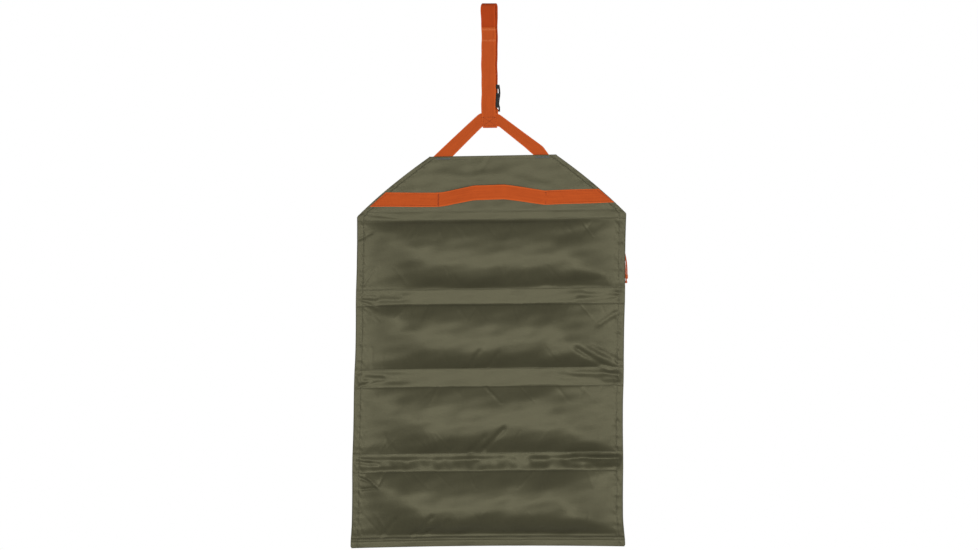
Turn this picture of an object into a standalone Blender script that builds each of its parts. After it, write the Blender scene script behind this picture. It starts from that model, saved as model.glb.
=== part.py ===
"""Camp kitchen utensil roll, modelled as it hangs open from its strap.

Metres, +Z up. The outer face looks towards -Y and the pockets look towards +Y.
The origin is under the top of the hanging loop, where a hook or a branch carries it.
"""

import math

import bmesh
import bpy

# Cloth, webbing and clearances
SHELL_THICK = 0.0010
LINING_THICK = 0.0006
POCKET_CLOTH = 0.0008
TOUCH = 0.0003
SEAM_GAP = 0.0004
JOIN_DEPTH = 0.001
CUT_PAST = 0.010
WEBBING_WIDTH = 0.025
WEBBING_THICK = 0.0014

# The panel, from the flap's top edge down to the hem
PANEL_WIDTH = 0.470
PANEL_HEIGHT = 0.573
FLAP_TOP_WIDTH = 0.220
FLAP_HEIGHT = 0.1084
SHOULDER_RISE = 0.0044
ROW_1_HEIGHT = 0.127
ROW_2_HEIGHT = 0.117
ROW_3_HEIGHT = 0.122
SPINE_12_HEIGHT = 0.022
SPINE_23_HEIGHT = 0.026
SPINE_34_HEIGHT = 0.026
HEM_HEIGHT = 0.013
SIDE_BORDER = 0.011
SEAM_FLAT = 0.003
ROW_CROWN = 0.011
CROWN_RUN = 0.060
CROWN_POWER = 0.7
SHELL_COLUMNS = 24
SHELL_LINES = 12
PADDING_COLUMNS = 18
PADDING_LINES = 9
PADDING_INSET = 0.014
PADDING_FILL = 0.85
PADDING_EASE = 0.0008

# The hanging strap and the bridle that carries the flap
STRAP_DROP = 0.2653
OVERLAP_TOP = 0.0413
OVERLAP_LENGTH = 0.0247
BACK_RUN_SHIFT = 0.0035
TAIL_END = 0.186
BRIDLE_HEIGHT = 0.0498
BRIDLE_SPREAD = 0.0885
BRIDLE_LEG_WIDTH = 0.036
BRIDLE_NECK = 0.014
BRIDLE_SHOULDER = 0.004
BRIDLE_MEET = 0.0225
FOOT_LENGTH = 0.015
WRAP_BACK_HEIGHT = 0.018
ANCHOR_FOOT = 0.002
ANCHOR_BEND = 0.003

# The side-release buckle
BUCKLE_WIDTH = 0.033
BUCKLE_THICK = 0.009
BUCKLE_EASE = 0.0002
SOCKET_LENGTH = 0.020
SOCKET_WALL = 0.0035
SOCKET_FACE = 0.0017
SOCKET_FLOOR = 0.0020
EYE_DROP = 0.0055
BAR_RISE = 0.004
BAR_RADIUS = 0.0016
BAR_EASE = 0.00003
CLIP_LENGTH = 0.0194
CLIP_FLOOR = 0.0045
CLIP_FRONT_SETBACK = 0.0015
PRONG_ROOT_GAP = 0.0004
PRONG_BEVEL = 0.0006
PRONG_TIP_CLEAR = 0.0010
PRONG_WIDTH = 0.0037
PRONG_THICK = 0.0040
TONGUE_WIDTH = 0.0080
TONGUE_TIP_CLEAR = 0.0015
KEEPER_HEIGHT = 0.0057
KEEPER_THICK = 0.0020
KEEPER_EASE = 0.0002
RAIL_WIDTH = 0.0032
RAIL_INSET = 0.0004
WINDOW_HEIGHT = 0.0110
LADDER_SLOT = 0.0080

# The webbing strip across the flap and its carry handle
STRIP_BOTTOM_ABOVE_SEAM = 0.0197
HANDLE_HALF = 0.0925
HANDLE_STANDOFF = 0.014
HANDLE_RISE = 0.011

# The pockets on the far side
POCKET_DEPTH = 0.0070
POCKET_HALF = 0.224
POCKET_WALL = 0.0010
BINDING_HEIGHT = 0.012
BINDING_THICK = 0.0008
POCKET_ABOVE_SEAM = 0.002
POCKET_BELOW_SEAM = 0.017
ROW_2_SLOTS = 7
ROW_3_SLOTS = 4
ROW_4_SLOTS = 3

# The zip of row 1
ZIP_POCKET_HALF = 0.229
ZIP_BELOW_SEAM = 0.0573
CHAIN_HALF = 0.0027
CHAIN_PROUD = 0.0007
CHAIN_THICK = 0.0024
CHAIN_BEVEL = 0.0004
SLIT_SHORT = 0.001
TAPE_WIDTH = 0.011
SLIDER_LENGTH = 0.014
SLIDER_HALF = 0.0048
SLIDER_THICK = 0.0015
SLIDER_INSET = 0.010
FLANGE_WIDTH = 0.0014
ARM_REACH = 0.0105
ARM_HALF = 0.0032
ARM_THICK = 0.0008
ARM_ROOT = 0.002
ARM_EASE = 0.0001
PIN_RADIUS = 0.0013
PIN_HEAD_RADIUS = 0.0027
PIN_HEAD_THICK = 0.0008
PIN_SETBACK = 0.0005
CORD_RADIUS = 0.00125
CORD_DROP = 0.042
CORD_LEAN = 0.0015
STRAND_EASE = 0.0001
KNOT_RADIUS = 0.0036
KNOT_EASE = 0.0002
KNOT_LENGTH = 0.0155

# Heights along the hanging roll
FLAP_TOP = -STRAP_DROP
SEAM_1 = FLAP_TOP - FLAP_HEIGHT
SEAM_1_LOW = SEAM_1 - ROW_1_HEIGHT
SEAM_2 = SEAM_1_LOW - SPINE_12_HEIGHT
SEAM_2_LOW = SEAM_2 - ROW_2_HEIGHT
SEAM_3 = SEAM_2_LOW - SPINE_23_HEIGHT
SEAM_3_LOW = SEAM_3 - ROW_3_HEIGHT
SEAM_4 = SEAM_3_LOW - SPINE_34_HEIGHT
BOTTOM = SEAM_1 - PANEL_HEIGHT
SEAM_4_LOW = BOTTOM + HEM_HEIGHT
HALF_WIDTH = PANEL_WIDTH / 2
HALF_GAP = SEAM_GAP / 2

# Depths. The loop's two runs stand clear of the buckle, and its middle is at Y = 0
BUCKLE_FRONT = 2 * WEBBING_THICK + 5 * TOUCH + BUCKLE_EASE
LOOP_FRONT_INNER = TOUCH + WEBBING_THICK
BACK_RUN_INNER = BUCKLE_FRONT + BUCKLE_THICK + TOUCH
LOOP_RADIUS = (BACK_RUN_INNER - LOOP_FRONT_INNER) / 2
LINING_Y = -(LOOP_FRONT_INNER + LOOP_RADIUS)
SHELL_IN = LINING_Y - LINING_THICK - TOUCH
SHELL_OUT = SHELL_IN - SHELL_THICK
BUCKLE_Y = LINING_Y + BUCKLE_FRONT + BUCKLE_THICK / 2
BUCKLE_BACK = BUCKLE_Y + BUCKLE_THICK / 2
BACK_RUN_Y = LINING_Y + BACK_RUN_INNER + WEBBING_THICK / 2

# Heights of the strap's junction and of the buckle
JUNCTION_LOW = FLAP_TOP + BRIDLE_HEIGHT
JUNCTION_TOP = JUNCTION_LOW + WEBBING_WIDTH
BAR_Z = JUNCTION_TOP + BAR_RISE
SOCKET_LOW = BAR_Z + EYE_DROP
SOCKET_TOP = SOCKET_LOW + SOCKET_LENGTH
CLIP_LOW = SOCKET_TOP + TOUCH
CLIP_TOP = CLIP_LOW + CLIP_LENGTH

roll = bpy.data.collections.new("utensil_roll")
cutters = bpy.data.collections.new("cutters")


def clear_scene():
    for obj in list(bpy.data.objects):
        bpy.data.objects.remove(obj)
    bpy.context.scene.collection.children.link(roll)
    bpy.context.scene.collection.children.link(cutters)


def make_material(name, colour, roughness, metallic=0.0):
    material = bpy.data.materials.new(name)
    material.use_nodes = True
    shader = material.node_tree.nodes["Principled BSDF"]
    shader.inputs["Base Color"].default_value = (*colour, 1.0)
    shader.inputs["Roughness"].default_value = roughness
    shader.inputs["Metallic"].default_value = metallic
    return material


SHELL_CLOTH = make_material("olive_shell_cloth", (0.115, 0.108, 0.073), 0.75)
LINING_CLOTH = make_material("grey_lining_cloth", (0.16, 0.16, 0.15), 0.85)
POCKET_MATERIAL = make_material("pocket_cloth", (0.10, 0.095, 0.066), 0.8)
PADDING_FOAM = make_material("padding_foam", (0.75, 0.74, 0.70), 0.9)
ORANGE_WEBBING = make_material("orange_webbing", (0.48, 0.105, 0.023), 0.7)
BINDING_TAPE = make_material("binding_tape", (0.03, 0.03, 0.03), 0.8)
BLACK_PLASTIC = make_material("black_plastic", (0.012, 0.012, 0.013), 0.4)
ZIP_TAPE = make_material("zip_tape", (0.02, 0.02, 0.021), 0.8)
ZIP_METAL = make_material("slider_metal", (0.08, 0.08, 0.085), 0.35, 1.0)
CORD_ORANGE = make_material("orange_cord", (0.40, 0.08, 0.025), 0.7)


def add_object(name, mesh, material, collection=roll):
    obj = bpy.data.objects.new(name, mesh)
    collection.objects.link(obj)
    if material:
        mesh.materials.append(material)
    return obj


def round_shading(obj, degrees=40):
    obj.data.shade_smooth()
    obj.data.set_sharp_from_angle(angle=math.radians(degrees))


def block(name, x_range, y_range, z_range, material, bevel=0.0, collection=roll):
    """A box between two corners, with its scale already in the mesh."""
    mesh = bpy.data.meshes.new(name)
    shape = bmesh.new()
    bmesh.ops.create_cube(shape, size=1.0)
    for vertex in shape.verts:
        for axis, (low, high) in enumerate((x_range, y_range, z_range)):
            vertex.co[axis] = low + (vertex.co[axis] + 0.5) * (high - low)
    shape.to_mesh(mesh)
    shape.free()
    obj = add_object(name, mesh, material, collection)
    if bevel:
        edge = obj.modifiers.new("rounded_edges", "BEVEL")
        edge.width = bevel
        edge.segments = 2
    return obj


def cutter(name, x_range, y_range, z_range):
    obj = block(name, x_range, y_range, z_range, None, collection=cutters)
    obj.hide_render = True
    obj.display_type = "WIRE"
    return obj


def combine(obj, other, operation):
    """A Boolean between two mesh objects. The second one goes with the cutters."""
    if other.name in roll.objects:
        roll.objects.unlink(other)
        cutters.objects.link(other)
        other.hide_render = True
        other.display_type = "WIRE"
    step = obj.modifiers.new(operation.lower(), "BOOLEAN")
    step.operation = operation
    step.object = other
    step.solver = "EXACT"


def flat_outline(name, points, y_front, y_back, material):
    """A flat piece of cloth or webbing: an outline of (x, z) points with its thickness in Y."""
    curve = bpy.data.curves.new(name, "CURVE")
    curve.dimensions = "2D"
    curve.fill_mode = "BOTH"
    curve.extrude = (y_back - y_front) / 2
    spline = curve.splines.new("POLY")
    spline.points.add(len(points) - 1)
    for point, (x, z) in zip(spline.points, points):
        point.co = (x, z, 0.0, 1.0)
    spline.use_cyclic_u = True
    obj = add_object(name, curve, material)
    obj.rotation_euler = (math.pi / 2, 0.0, 0.0)
    obj.location = (0.0, (y_front + y_back) / 2, 0.0)
    return obj


def side_profile(name, splines, x_middle, width, material):
    """A piece of one section all along X: closed outlines of (y, z) points, the later ones its holes."""
    curve = bpy.data.curves.new(name, "CURVE")
    curve.dimensions = "2D"
    curve.fill_mode = "BOTH"
    curve.extrude = width / 2
    for points in splines:
        spline = curve.splines.new("POLY")
        spline.points.add(len(points) - 1)
        for point, (y, z) in zip(spline.points, points):
            point.co = (y, z, 0.0, 1.0)
        spline.use_cyclic_u = True
    obj = add_object(name, curve, material)
    obj.rotation_euler = (math.pi / 2, 0.0, math.pi / 2)
    obj.location = (x_middle, 0.0, 0.0)
    return obj


def grid_mesh(across, along, place):
    """A grid whose vertex at the shares (s, t) of its two ways lies at place(s, t)."""
    shape = bmesh.new()
    bmesh.ops.create_grid(shape, x_segments=across, y_segments=along, size=0.5)
    for vertex in shape.verts:
        vertex.co = place(vertex.co.x + 0.5, vertex.co.y + 0.5)
    return shape


def sheet(name, across, along, place, thick, material):
    """An open surface given its thickness on both sides of it."""
    mesh = bpy.data.meshes.new(name)
    shape = grid_mesh(across, along, place)
    shape.to_mesh(mesh)
    shape.free()
    obj = add_object(name, mesh, material)
    cloth = obj.modifiers.new("cloth_thickness", "SOLIDIFY")
    cloth.thickness = thick
    cloth.offset = 0.0
    round_shading(obj)
    return obj


def arc(centre, radius, start, end, steps):
    """Points of (y, z) round a centre from one angle to another, in degrees."""
    found = []
    for step in range(steps + 1):
        angle = math.radians(start + (end - start) * step / steps)
        found.append((centre[0] + radius * math.cos(angle), centre[1] + radius * math.sin(angle)))
    return found


# The outer shell of a row, its padding and its lining


def crown(x, z, top, low):
    """How far the padded row swells outward at (x, z), from nothing at its seams and side stitching."""
    down = (top - SEAM_FLAT - z) / (top - low - 2 * SEAM_FLAT)
    inward = (HALF_WIDTH - SIDE_BORDER - abs(x)) / CROWN_RUN
    if down <= 0 or down >= 1 or inward <= 0:
        return 0.0
    inward = min(inward, 1.0)
    return ROW_CROWN * math.sin(math.pi * down) ** CROWN_POWER * inward * (2 - inward)


def across_x(s, half):
    """Even steps inside the border, with one column kept for the flat border on each side."""
    inner = HALF_WIDTH - SIDE_BORDER
    column = round(s * SHELL_COLUMNS)
    if column in (0, SHELL_COLUMNS):
        return -half if column == 0 else half
    return -inner + 2 * inner * (column - 1) / (SHELL_COLUMNS - 2)


def row_shell(name, top, low, bottom):
    """The olive outer cloth of one row, crowned between its seams and flat along its borders."""
    swell_top, swell_low = top - SEAM_FLAT, low + SEAM_FLAT

    def place(s, t):
        line = round(t * SHELL_LINES)
        if line == 0:
            z = bottom if bottom < low else low + HALF_GAP
        elif line == SHELL_LINES:
            z = top - HALF_GAP
        else:
            z = swell_low + (swell_top - swell_low) * (line - 1) / (SHELL_LINES - 2)
        x = across_x(s, HALF_WIDTH)
        return (x, SHELL_IN - SHELL_THICK / 2 - crown(x, z, top, low), z)

    return sheet(name, SHELL_COLUMNS, SHELL_LINES, place, SHELL_THICK, SHELL_CLOTH)


def row_padding(name, top, low):
    """The soft filling of one row: flat on the lining and crowned under the shell."""
    half = HALF_WIDTH - SIDE_BORDER - PADDING_INSET
    high = top - PADDING_INSET
    deep = low + PADDING_INSET
    back = LINING_Y - LINING_THICK - TOUCH

    def place(s, t):
        x = -half + 2 * half * s
        z = deep + (high - deep) * t
        swell = crown(x, z, top, low) * PADDING_FILL - PADDING_EASE
        return (x, back - swell, z)

    shape = grid_mesh(PADDING_COLUMNS, PADDING_LINES, place)
    grown = bmesh.ops.extrude_face_region(shape, geom=list(shape.faces))
    for item in grown["geom"]:
        if isinstance(item, bmesh.types.BMVert):
            item.co.y = back
    bmesh.ops.recalc_face_normals(shape, faces=list(shape.faces))
    mesh = bpy.data.meshes.new(name)
    shape.to_mesh(mesh)
    shape.free()
    obj = add_object(name, mesh, PADDING_FOAM)
    round_shading(obj)
    return obj


def flat_cloth(name, z_range, y_range, material, half=HALF_WIDTH):
    return block(name, (-half, half), y_range, z_range, material)


def row_layers(number, top, low, bottom):
    """Outer shell, padding and lining of one row."""
    row_shell(f"row_{number}_outer_shell", top, low, bottom)
    row_padding(f"row_{number}_padding", top, low)
    lining = (LINING_Y - LINING_THICK, LINING_Y)
    foot = bottom if bottom < low else low + HALF_GAP
    flat_cloth(f"row_{number}_lining", (foot, top - HALF_GAP), lining, LINING_CLOTH)


def spine(number, top, low):
    """The flat double-stitched strip on which the roll folds between two rows."""
    span = (low + HALF_GAP, top - HALF_GAP)
    flat_cloth(f"spine_{number}_outer", span, (SHELL_OUT, SHELL_IN), SHELL_CLOTH)
    lining = (LINING_Y - LINING_THICK, LINING_Y)
    flat_cloth(f"spine_{number}_lining", span, lining, LINING_CLOTH)


# The flap


def flap_outline():
    """The flap's six corners: a level top, two slanting sides and two short upright ends."""
    shoulder = SEAM_1 + SHOULDER_RISE
    right = [
        (FLAP_TOP_WIDTH / 2, FLAP_TOP - HALF_GAP),
        (HALF_WIDTH, shoulder),
        (HALF_WIDTH, SEAM_1 + HALF_GAP),
    ]
    return right + [(-x, z) for x, z in reversed(right)]


def flap_half_at(z):
    """Half the flap's width at a height between its shoulder and its top edge."""
    shoulder = SEAM_1 + SHOULDER_RISE
    share = (z - shoulder) / (FLAP_TOP - shoulder)
    return HALF_WIDTH + share * (FLAP_TOP_WIDTH / 2 - HALF_WIDTH)


def flap():
    flat_outline("flap_outer_shell", flap_outline(), SHELL_OUT, SHELL_IN, SHELL_CLOTH)
    lining_front = LINING_Y - LINING_THICK
    flat_outline("flap_lining", flap_outline(), lining_front, LINING_Y, LINING_CLOTH)


def webbing_strip():
    """Two flat runs of webbing sewn across the flap, cut off along its slanted edges."""
    low = SEAM_1 + STRIP_BOTTOM_ABOVE_SEAM
    high = low + WEBBING_WIDTH
    back = SHELL_OUT - TOUCH
    front = back - WEBBING_THICK
    start = HANDLE_HALF + TOUCH
    right = [(start, low), (flap_half_at(low), low), (flap_half_at(high), high), (start, high)]
    left = [(-x, z) for x, z in right]
    flat_outline("webbing_strip_right", right, front, back, ORANGE_WEBBING)
    flat_outline("webbing_strip_left", left, front, back, ORANGE_WEBBING)


def handle_bow(x):
    """The handle's bow as a share of its height: none at its sewn ends and flat at its middle."""
    wave = math.cos(math.pi * x / (2 * HANDLE_HALF))
    return wave * wave * (2 - wave * wave)


def carry_handle():
    middle_z = SEAM_1 + STRIP_BOTTOM_ABOVE_SEAM + WEBBING_WIDTH / 2
    base_y = SHELL_OUT - TOUCH - WEBBING_THICK / 2

    def place(s, t):
        x = HANDLE_HALF * (2 * s - 1)
        bow = handle_bow(x)
        z = middle_z + WEBBING_WIDTH * (t - 0.5) + HANDLE_RISE * bow
        return (x, base_y - HANDLE_STANDOFF * bow, z)

    sheet("carry_handle", 20, 1, place, WEBBING_THICK, ORANGE_WEBBING)


# The hanging strap, the bridle and the buckle


def strap_front_run():
    """The strap's front run. Its end turns under the bridle and up behind it, where it is box-stitched."""
    front = LINING_Y - WEBBING_THICK
    gap = WEBBING_THICK + 2 * TOUCH
    back = LINING_Y + gap
    turn = JUNCTION_LOW - TOUCH
    outline = [
        (front, -OVERLAP_TOP),
        (LINING_Y, -OVERLAP_TOP),
        (LINING_Y, turn),
        (back, turn),
        (back, turn + WRAP_BACK_HEIGHT),
        (back + WEBBING_THICK, turn + WRAP_BACK_HEIGHT),
        (back + WEBBING_THICK, turn - WEBBING_THICK / 2),
        (back, turn - WEBBING_THICK),
        (LINING_Y, turn - WEBBING_THICK),
        (front, turn - WEBBING_THICK / 2),
    ]
    side_profile("strap_front_run", [outline], 0.0, WEBBING_WIDTH, ORANGE_WEBBING)


def strap_loop():
    """The strap's upper length: sewn behind the front run, over the top, and down through the buckle."""
    radius = LOOP_RADIUS + WEBBING_THICK / 2
    front_y = LINING_Y + TOUCH + WEBBING_THICK / 2
    turn_z = -LOOP_RADIUS
    foot_z = -(OVERLAP_TOP + OVERLAP_LENGTH)
    end_z = -TAIL_END
    rise = turn_z - foot_z
    fall = turn_z - end_z
    bend_steps, front_steps, back_steps = 12, 2, 4
    steps = front_steps + bend_steps + back_steps

    def place(s, t):
        step = round(t * steps)
        if step <= front_steps:
            y, z = front_y, foot_z + rise * step / front_steps
        elif step <= front_steps + bend_steps:
            angle = math.pi * (1 - (step - front_steps) / bend_steps)
            y, z = radius * math.cos(angle), turn_z + radius * math.sin(angle)
        else:
            y, z = BACK_RUN_Y, turn_z - fall * (step - front_steps - bend_steps) / back_steps
        shift = BACK_RUN_SHIFT * (y - front_y) / (BACK_RUN_Y - front_y)
        return (WEBBING_WIDTH * (s - 0.5) + shift, y, z)

    sheet("strap_loop", 1, steps, place, WEBBING_THICK, ORANGE_WEBBING)


def leg_x(z, inner):
    """Where a bridle leg's inner or outer edge lies at a height."""
    meet = JUNCTION_LOW + BRIDLE_MEET
    middle = BRIDLE_SPREAD * (meet - z) / (meet - FLAP_TOP)
    return middle - BRIDLE_LEG_WIDTH / 2 if inner else middle + BRIDLE_LEG_WIDTH / 2


def bridle():
    """One length of webbing: two slanting legs and the level middle that the strap is sewn round."""
    foot = FLAP_TOP + HALF_GAP
    front = LINING_Y + TOUCH
    shoulder = JUNCTION_TOP - BRIDLE_SHOULDER
    half = [
        (BRIDLE_NECK, JUNCTION_TOP),
        (leg_x(shoulder, False), shoulder),
        (leg_x(foot, False), foot),
        (leg_x(foot, True), foot),
        (BRIDLE_NECK, JUNCTION_LOW),
    ]
    outline = half + [(-x, z) for x, z in reversed(half)]
    flat_outline("bridle_webbing", outline, front, front + WEBBING_THICK, ORANGE_WEBBING)


def bridle_feet():
    """The ends of the bridle, sewn down behind the flap's top edge."""
    high = FLAP_TOP - HALF_GAP
    low = high - FOOT_LENGTH
    front = LINING_Y + TOUCH
    right = [
        (leg_x(high, True), high),
        (leg_x(high, False), high),
        (leg_x(low, False), low),
        (leg_x(low, True), low),
    ]
    left = [(-x, z) for x, z in right]
    flat_outline("bridle_foot_right", right, front, front + WEBBING_THICK, ORANGE_WEBBING)
    flat_outline("bridle_foot_left", left, front, front + WEBBING_THICK, ORANGE_WEBBING)


def buckle_anchor():
    """The doubled webbing tab behind the junction, with an eye round the socket's bar."""
    eye = (BUCKLE_Y, BAR_Z)
    inner = BAR_RADIUS + TOUCH
    outer = inner + WEBBING_THICK
    foot_front = LINING_Y + 2 * WEBBING_THICK + 3 * TOUCH
    foot_back = foot_front + 2 * WEBBING_THICK
    foot_low = JUNCTION_LOW + ANCHOR_FOOT
    bend = JUNCTION_LOW + WRAP_BACK_HEIGHT - ANCHOR_BEND
    outline = [(foot_front, foot_low), (foot_back, foot_low), (foot_back, bend)]
    outline += arc(eye, outer, -45, 180, 10)
    outline += [(foot_front, bend)]
    hole = arc(eye, inner, 0, 330, 11)
    side_profile("buckle_anchor", [outline, hole], BACK_RUN_SHIFT, WEBBING_WIDTH, ORANGE_WEBBING)


def buckle_socket():
    """The lower half: a flat tube with side windows, and a loop with the bar that the anchor holds."""
    middle = BACK_RUN_SHIFT
    half = BUCKLE_WIDTH / 2
    front, back = BUCKLE_Y - BUCKLE_THICK / 2, BUCKLE_BACK
    x_range = (middle - half, middle + half)
    socket = block("buckle_socket", x_range, (front, back), (SOCKET_LOW, SOCKET_TOP), BLACK_PLASTIC)
    cavity = half - SOCKET_WALL
    combine(
        socket,
        cutter(
            "socket_cavity",
            (middle - cavity, middle + cavity),
            (front + SOCKET_FACE, back - SOCKET_FACE),
            (SOCKET_LOW + SOCKET_FLOOR, SOCKET_TOP + CUT_PAST),
        ),
        "DIFFERENCE",
    )
    window_low = SOCKET_LOW + (SOCKET_LENGTH - WINDOW_HEIGHT) / 2
    window_x = (middle - half - CUT_PAST, middle + half + CUT_PAST)
    window_y = (front + SOCKET_FACE, back - SOCKET_FACE)
    window_z = (window_low, window_low + WINDOW_HEIGHT)
    combine(socket, cutter("socket_windows", window_x, window_y, window_z), "DIFFERENCE")
    rail_low = BAR_Z - BAR_RADIUS
    rail_y = (BUCKLE_Y - BAR_RADIUS, BUCKLE_Y + BAR_RADIUS)
    for side in (-1, 1):
        inner = middle + side * (half - RAIL_WIDTH)
        outer = middle + side * (half - RAIL_INSET)
        rail_x = (min(inner, outer), max(inner, outer))
        rail = block(f"socket_rail_{side + 1}", rail_x, rail_y, (rail_low, SOCKET_LOW + JOIN_DEPTH), None)
        combine(socket, rail, "UNION")
    shape = bmesh.new()
    bar = BAR_RADIUS - BAR_EASE
    length = BUCKLE_WIDTH - RAIL_WIDTH
    bmesh.ops.create_cone(shape, cap_ends=True, segments=16, radius1=bar, radius2=bar, depth=length)
    mesh = bpy.data.meshes.new("socket_bar")
    for vertex in shape.verts:
        x, y, z = vertex.co
        vertex.co = (z + middle, y + BUCKLE_Y, BAR_Z - x)
    shape.to_mesh(mesh)
    shape.free()
    combine(socket, add_object("socket_bar", mesh, None), "UNION")


def buckle_clip():
    """The upper half: a frame that the strap is held against by a keeper bar, and a guide tongue."""
    middle = BACK_RUN_SHIFT
    half = BUCKLE_WIDTH / 2
    front = BUCKLE_Y - BUCKLE_THICK / 2 + CLIP_FRONT_SETBACK
    x_range = (middle - half, middle + half)
    clip = block("buckle_clip", x_range, (front, BUCKLE_BACK), (CLIP_LOW, CLIP_TOP), BLACK_PLASTIC)
    slot_low = CLIP_LOW + CLIP_FLOOR
    slot_x = (middle - half + RAIL_WIDTH, middle + half - RAIL_WIDTH)
    slot_y = (front - CUT_PAST, BUCKLE_BACK + CUT_PAST)
    slot_z = (slot_low, slot_low + LADDER_SLOT)
    combine(clip, cutter("ladder_slot", slot_x, slot_y, slot_z), "DIFFERENCE")
    keeper_front = BUCKLE_BACK + WEBBING_THICK + 2 * TOUCH
    keeper_back = keeper_front + KEEPER_THICK
    keeper_low = CLIP_TOP - KEEPER_HEIGHT
    keeper_y = (BUCKLE_BACK - JOIN_DEPTH, keeper_back)
    keeper = block("keeper", x_range, keeper_y, (keeper_low, CLIP_TOP - KEEPER_EASE), None)
    pass_half = WEBBING_WIDTH / 2 + TOUCH
    pass_x = (middle - pass_half, middle + pass_half)
    pass_y = (BUCKLE_BACK - CUT_PAST, keeper_front)
    pass_z = (keeper_low - CUT_PAST, CLIP_TOP + CUT_PAST)
    combine(keeper, cutter("strap_way", pass_x, pass_y, pass_z), "DIFFERENCE")
    combine(clip, keeper, "UNION")
    tongue = block(
        "tongue",
        (middle - TONGUE_WIDTH / 2, middle + TONGUE_WIDTH / 2),
        (BUCKLE_Y - PRONG_THICK / 2, BUCKLE_Y + PRONG_THICK / 2),
        (SOCKET_LOW + SOCKET_FLOOR + TONGUE_TIP_CLEAR, CLIP_LOW + JOIN_DEPTH),
        None,
    )
    combine(clip, tongue, "UNION")


def buckle_prongs():
    """The two springy side arms, a little short of the socket's walls."""
    outer = BUCKLE_WIDTH / 2 - SOCKET_WALL - TOUCH
    thick = (BUCKLE_Y - PRONG_THICK / 2, BUCKLE_Y + PRONG_THICK / 2)
    z_range = (SOCKET_LOW + SOCKET_FLOOR + PRONG_TIP_CLEAR, CLIP_LOW - PRONG_ROOT_GAP)
    left = (BACK_RUN_SHIFT - outer, BACK_RUN_SHIFT - outer + PRONG_WIDTH)
    right = (BACK_RUN_SHIFT + outer - PRONG_WIDTH, BACK_RUN_SHIFT + outer)
    block("prong_left", left, thick, z_range, BLACK_PLASTIC, PRONG_BEVEL)
    block("prong_right", right, thick, z_range, BLACK_PLASTIC, PRONG_BEVEL)


# The pockets


def slot_range(slots, slot):
    """One slot's clear width between its two dividers."""
    pitch = (2 * POCKET_HALF - POCKET_WALL) / slots
    low = -POCKET_HALF + POCKET_WALL + pitch * slot
    return low, low + pitch - POCKET_WALL


def pocket_panel(number, seam, seam_low, slots):
    """A cloth panel with sewn dividers and a sewn foot, open at its top. Its back is the lining."""
    front = LINING_Y + TOUCH
    back = front + POCKET_DEPTH
    low, high = seam_low + POCKET_ABOVE_SEAM, seam - POCKET_BELOW_SEAM
    across = (-POCKET_HALF, POCKET_HALF)
    panel = block(f"row_{number}_pocket", across, (front, back), (low, high), POCKET_MATERIAL)
    slot_y = (front - CUT_PAST, back - POCKET_CLOTH)
    slot_z = (low + POCKET_WALL, high + CUT_PAST)
    for slot in range(slots):
        name = f"row_{number}_slot_{slot + 1}"
        combine(panel, cutter(name, slot_range(slots, slot), slot_y, slot_z), "DIFFERENCE")
    binding = (back + TOUCH, back + TOUCH + BINDING_THICK)
    block(f"row_{number}_pocket_binding", across, binding, (high - BINDING_HEIGHT, high), BINDING_TAPE)


def zip_pocket():
    """The full-width pocket of row 1, closed by the zip across its middle."""
    zip_z = SEAM_1 - ZIP_BELOW_SEAM
    front = LINING_Y + TOUCH
    back = front + POCKET_DEPTH
    low, high = SEAM_1_LOW + POCKET_ABOVE_SEAM, SEAM_1 - POCKET_ABOVE_SEAM
    half = ZIP_POCKET_HALF
    panel = block("row_1_zip_pocket", (-half, half), (front, back), (low, high), POCKET_MATERIAL)
    inner = half - POCKET_WALL
    hollow_y = (front - CUT_PAST, back - POCKET_CLOTH)
    hollow = cutter("zip_pocket_hollow", (-inner, inner), hollow_y, (low + POCKET_WALL, high - POCKET_WALL))
    combine(panel, hollow, "DIFFERENCE")
    slit_half = CHAIN_HALF + TOUCH
    slit_x = inner - SLIT_SHORT
    slit_y = (front + JOIN_DEPTH, back + CUT_PAST)
    slit_z = (zip_z - slit_half, zip_z + slit_half)
    combine(panel, cutter("zip_slit", (-slit_x, slit_x), slit_y, slit_z), "DIFFERENCE")
    tape_back = back - POCKET_CLOTH - TOUCH
    tape_y = (tape_back - LINING_THICK, tape_back)
    tape_x = (-slit_x, slit_x)
    block("zip_tape_upper", tape_x, tape_y, (slit_z[1], slit_z[1] + TAPE_WIDTH), ZIP_TAPE)
    block("zip_tape_lower", tape_x, tape_y, (slit_z[0] - TAPE_WIDTH, slit_z[0]), ZIP_TAPE)
    chain_top = back + CHAIN_PROUD
    chain_x = (-slit_x + TOUCH, slit_x - TOUCH)
    chain_z = (zip_z - CHAIN_HALF, zip_z + CHAIN_HALF)
    block("zip_chain", chain_x, (chain_top - CHAIN_THICK, chain_top), chain_z, ZIP_TAPE, CHAIN_BEVEL)


def pull_place():
    """Where the slider's pin stands: (x, the arm's far face, z, the middle depth of the cord)."""
    arm_end = ZIP_POCKET_HALF - SLIDER_INSET + SLIDER_LENGTH / 2 + ARM_REACH
    pocket_back = LINING_Y + TOUCH + POCKET_DEPTH
    arm_back = pocket_back + CHAIN_PROUD + TOUCH + ARM_THICK
    cord_y = pocket_back + TOUCH + KNOT_RADIUS + KNOT_EASE
    return arm_end - PIN_HEAD_RADIUS - PIN_SETBACK, arm_back, SEAM_1 - ZIP_BELOW_SEAM, cord_y


def turned(name, profile, place, material, steps=16):
    """A turned piece: (radius, height) points down its outer side, spun round an upright axis."""
    mesh = bpy.data.meshes.new(name)
    points = [(radius, 0.0, height) for radius, height in profile]
    mesh.from_pydata(points, [(i, i + 1) for i in range(len(points) - 1)], [])
    obj = add_object(name, mesh, material)
    obj.location = place
    spin = obj.modifiers.new("turned", "SCREW")
    spin.steps = steps
    spin.render_steps = steps
    spin.use_merge_vertices = True
    spin.merge_threshold = 0.00005
    round_shading(obj)
    return obj


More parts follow.
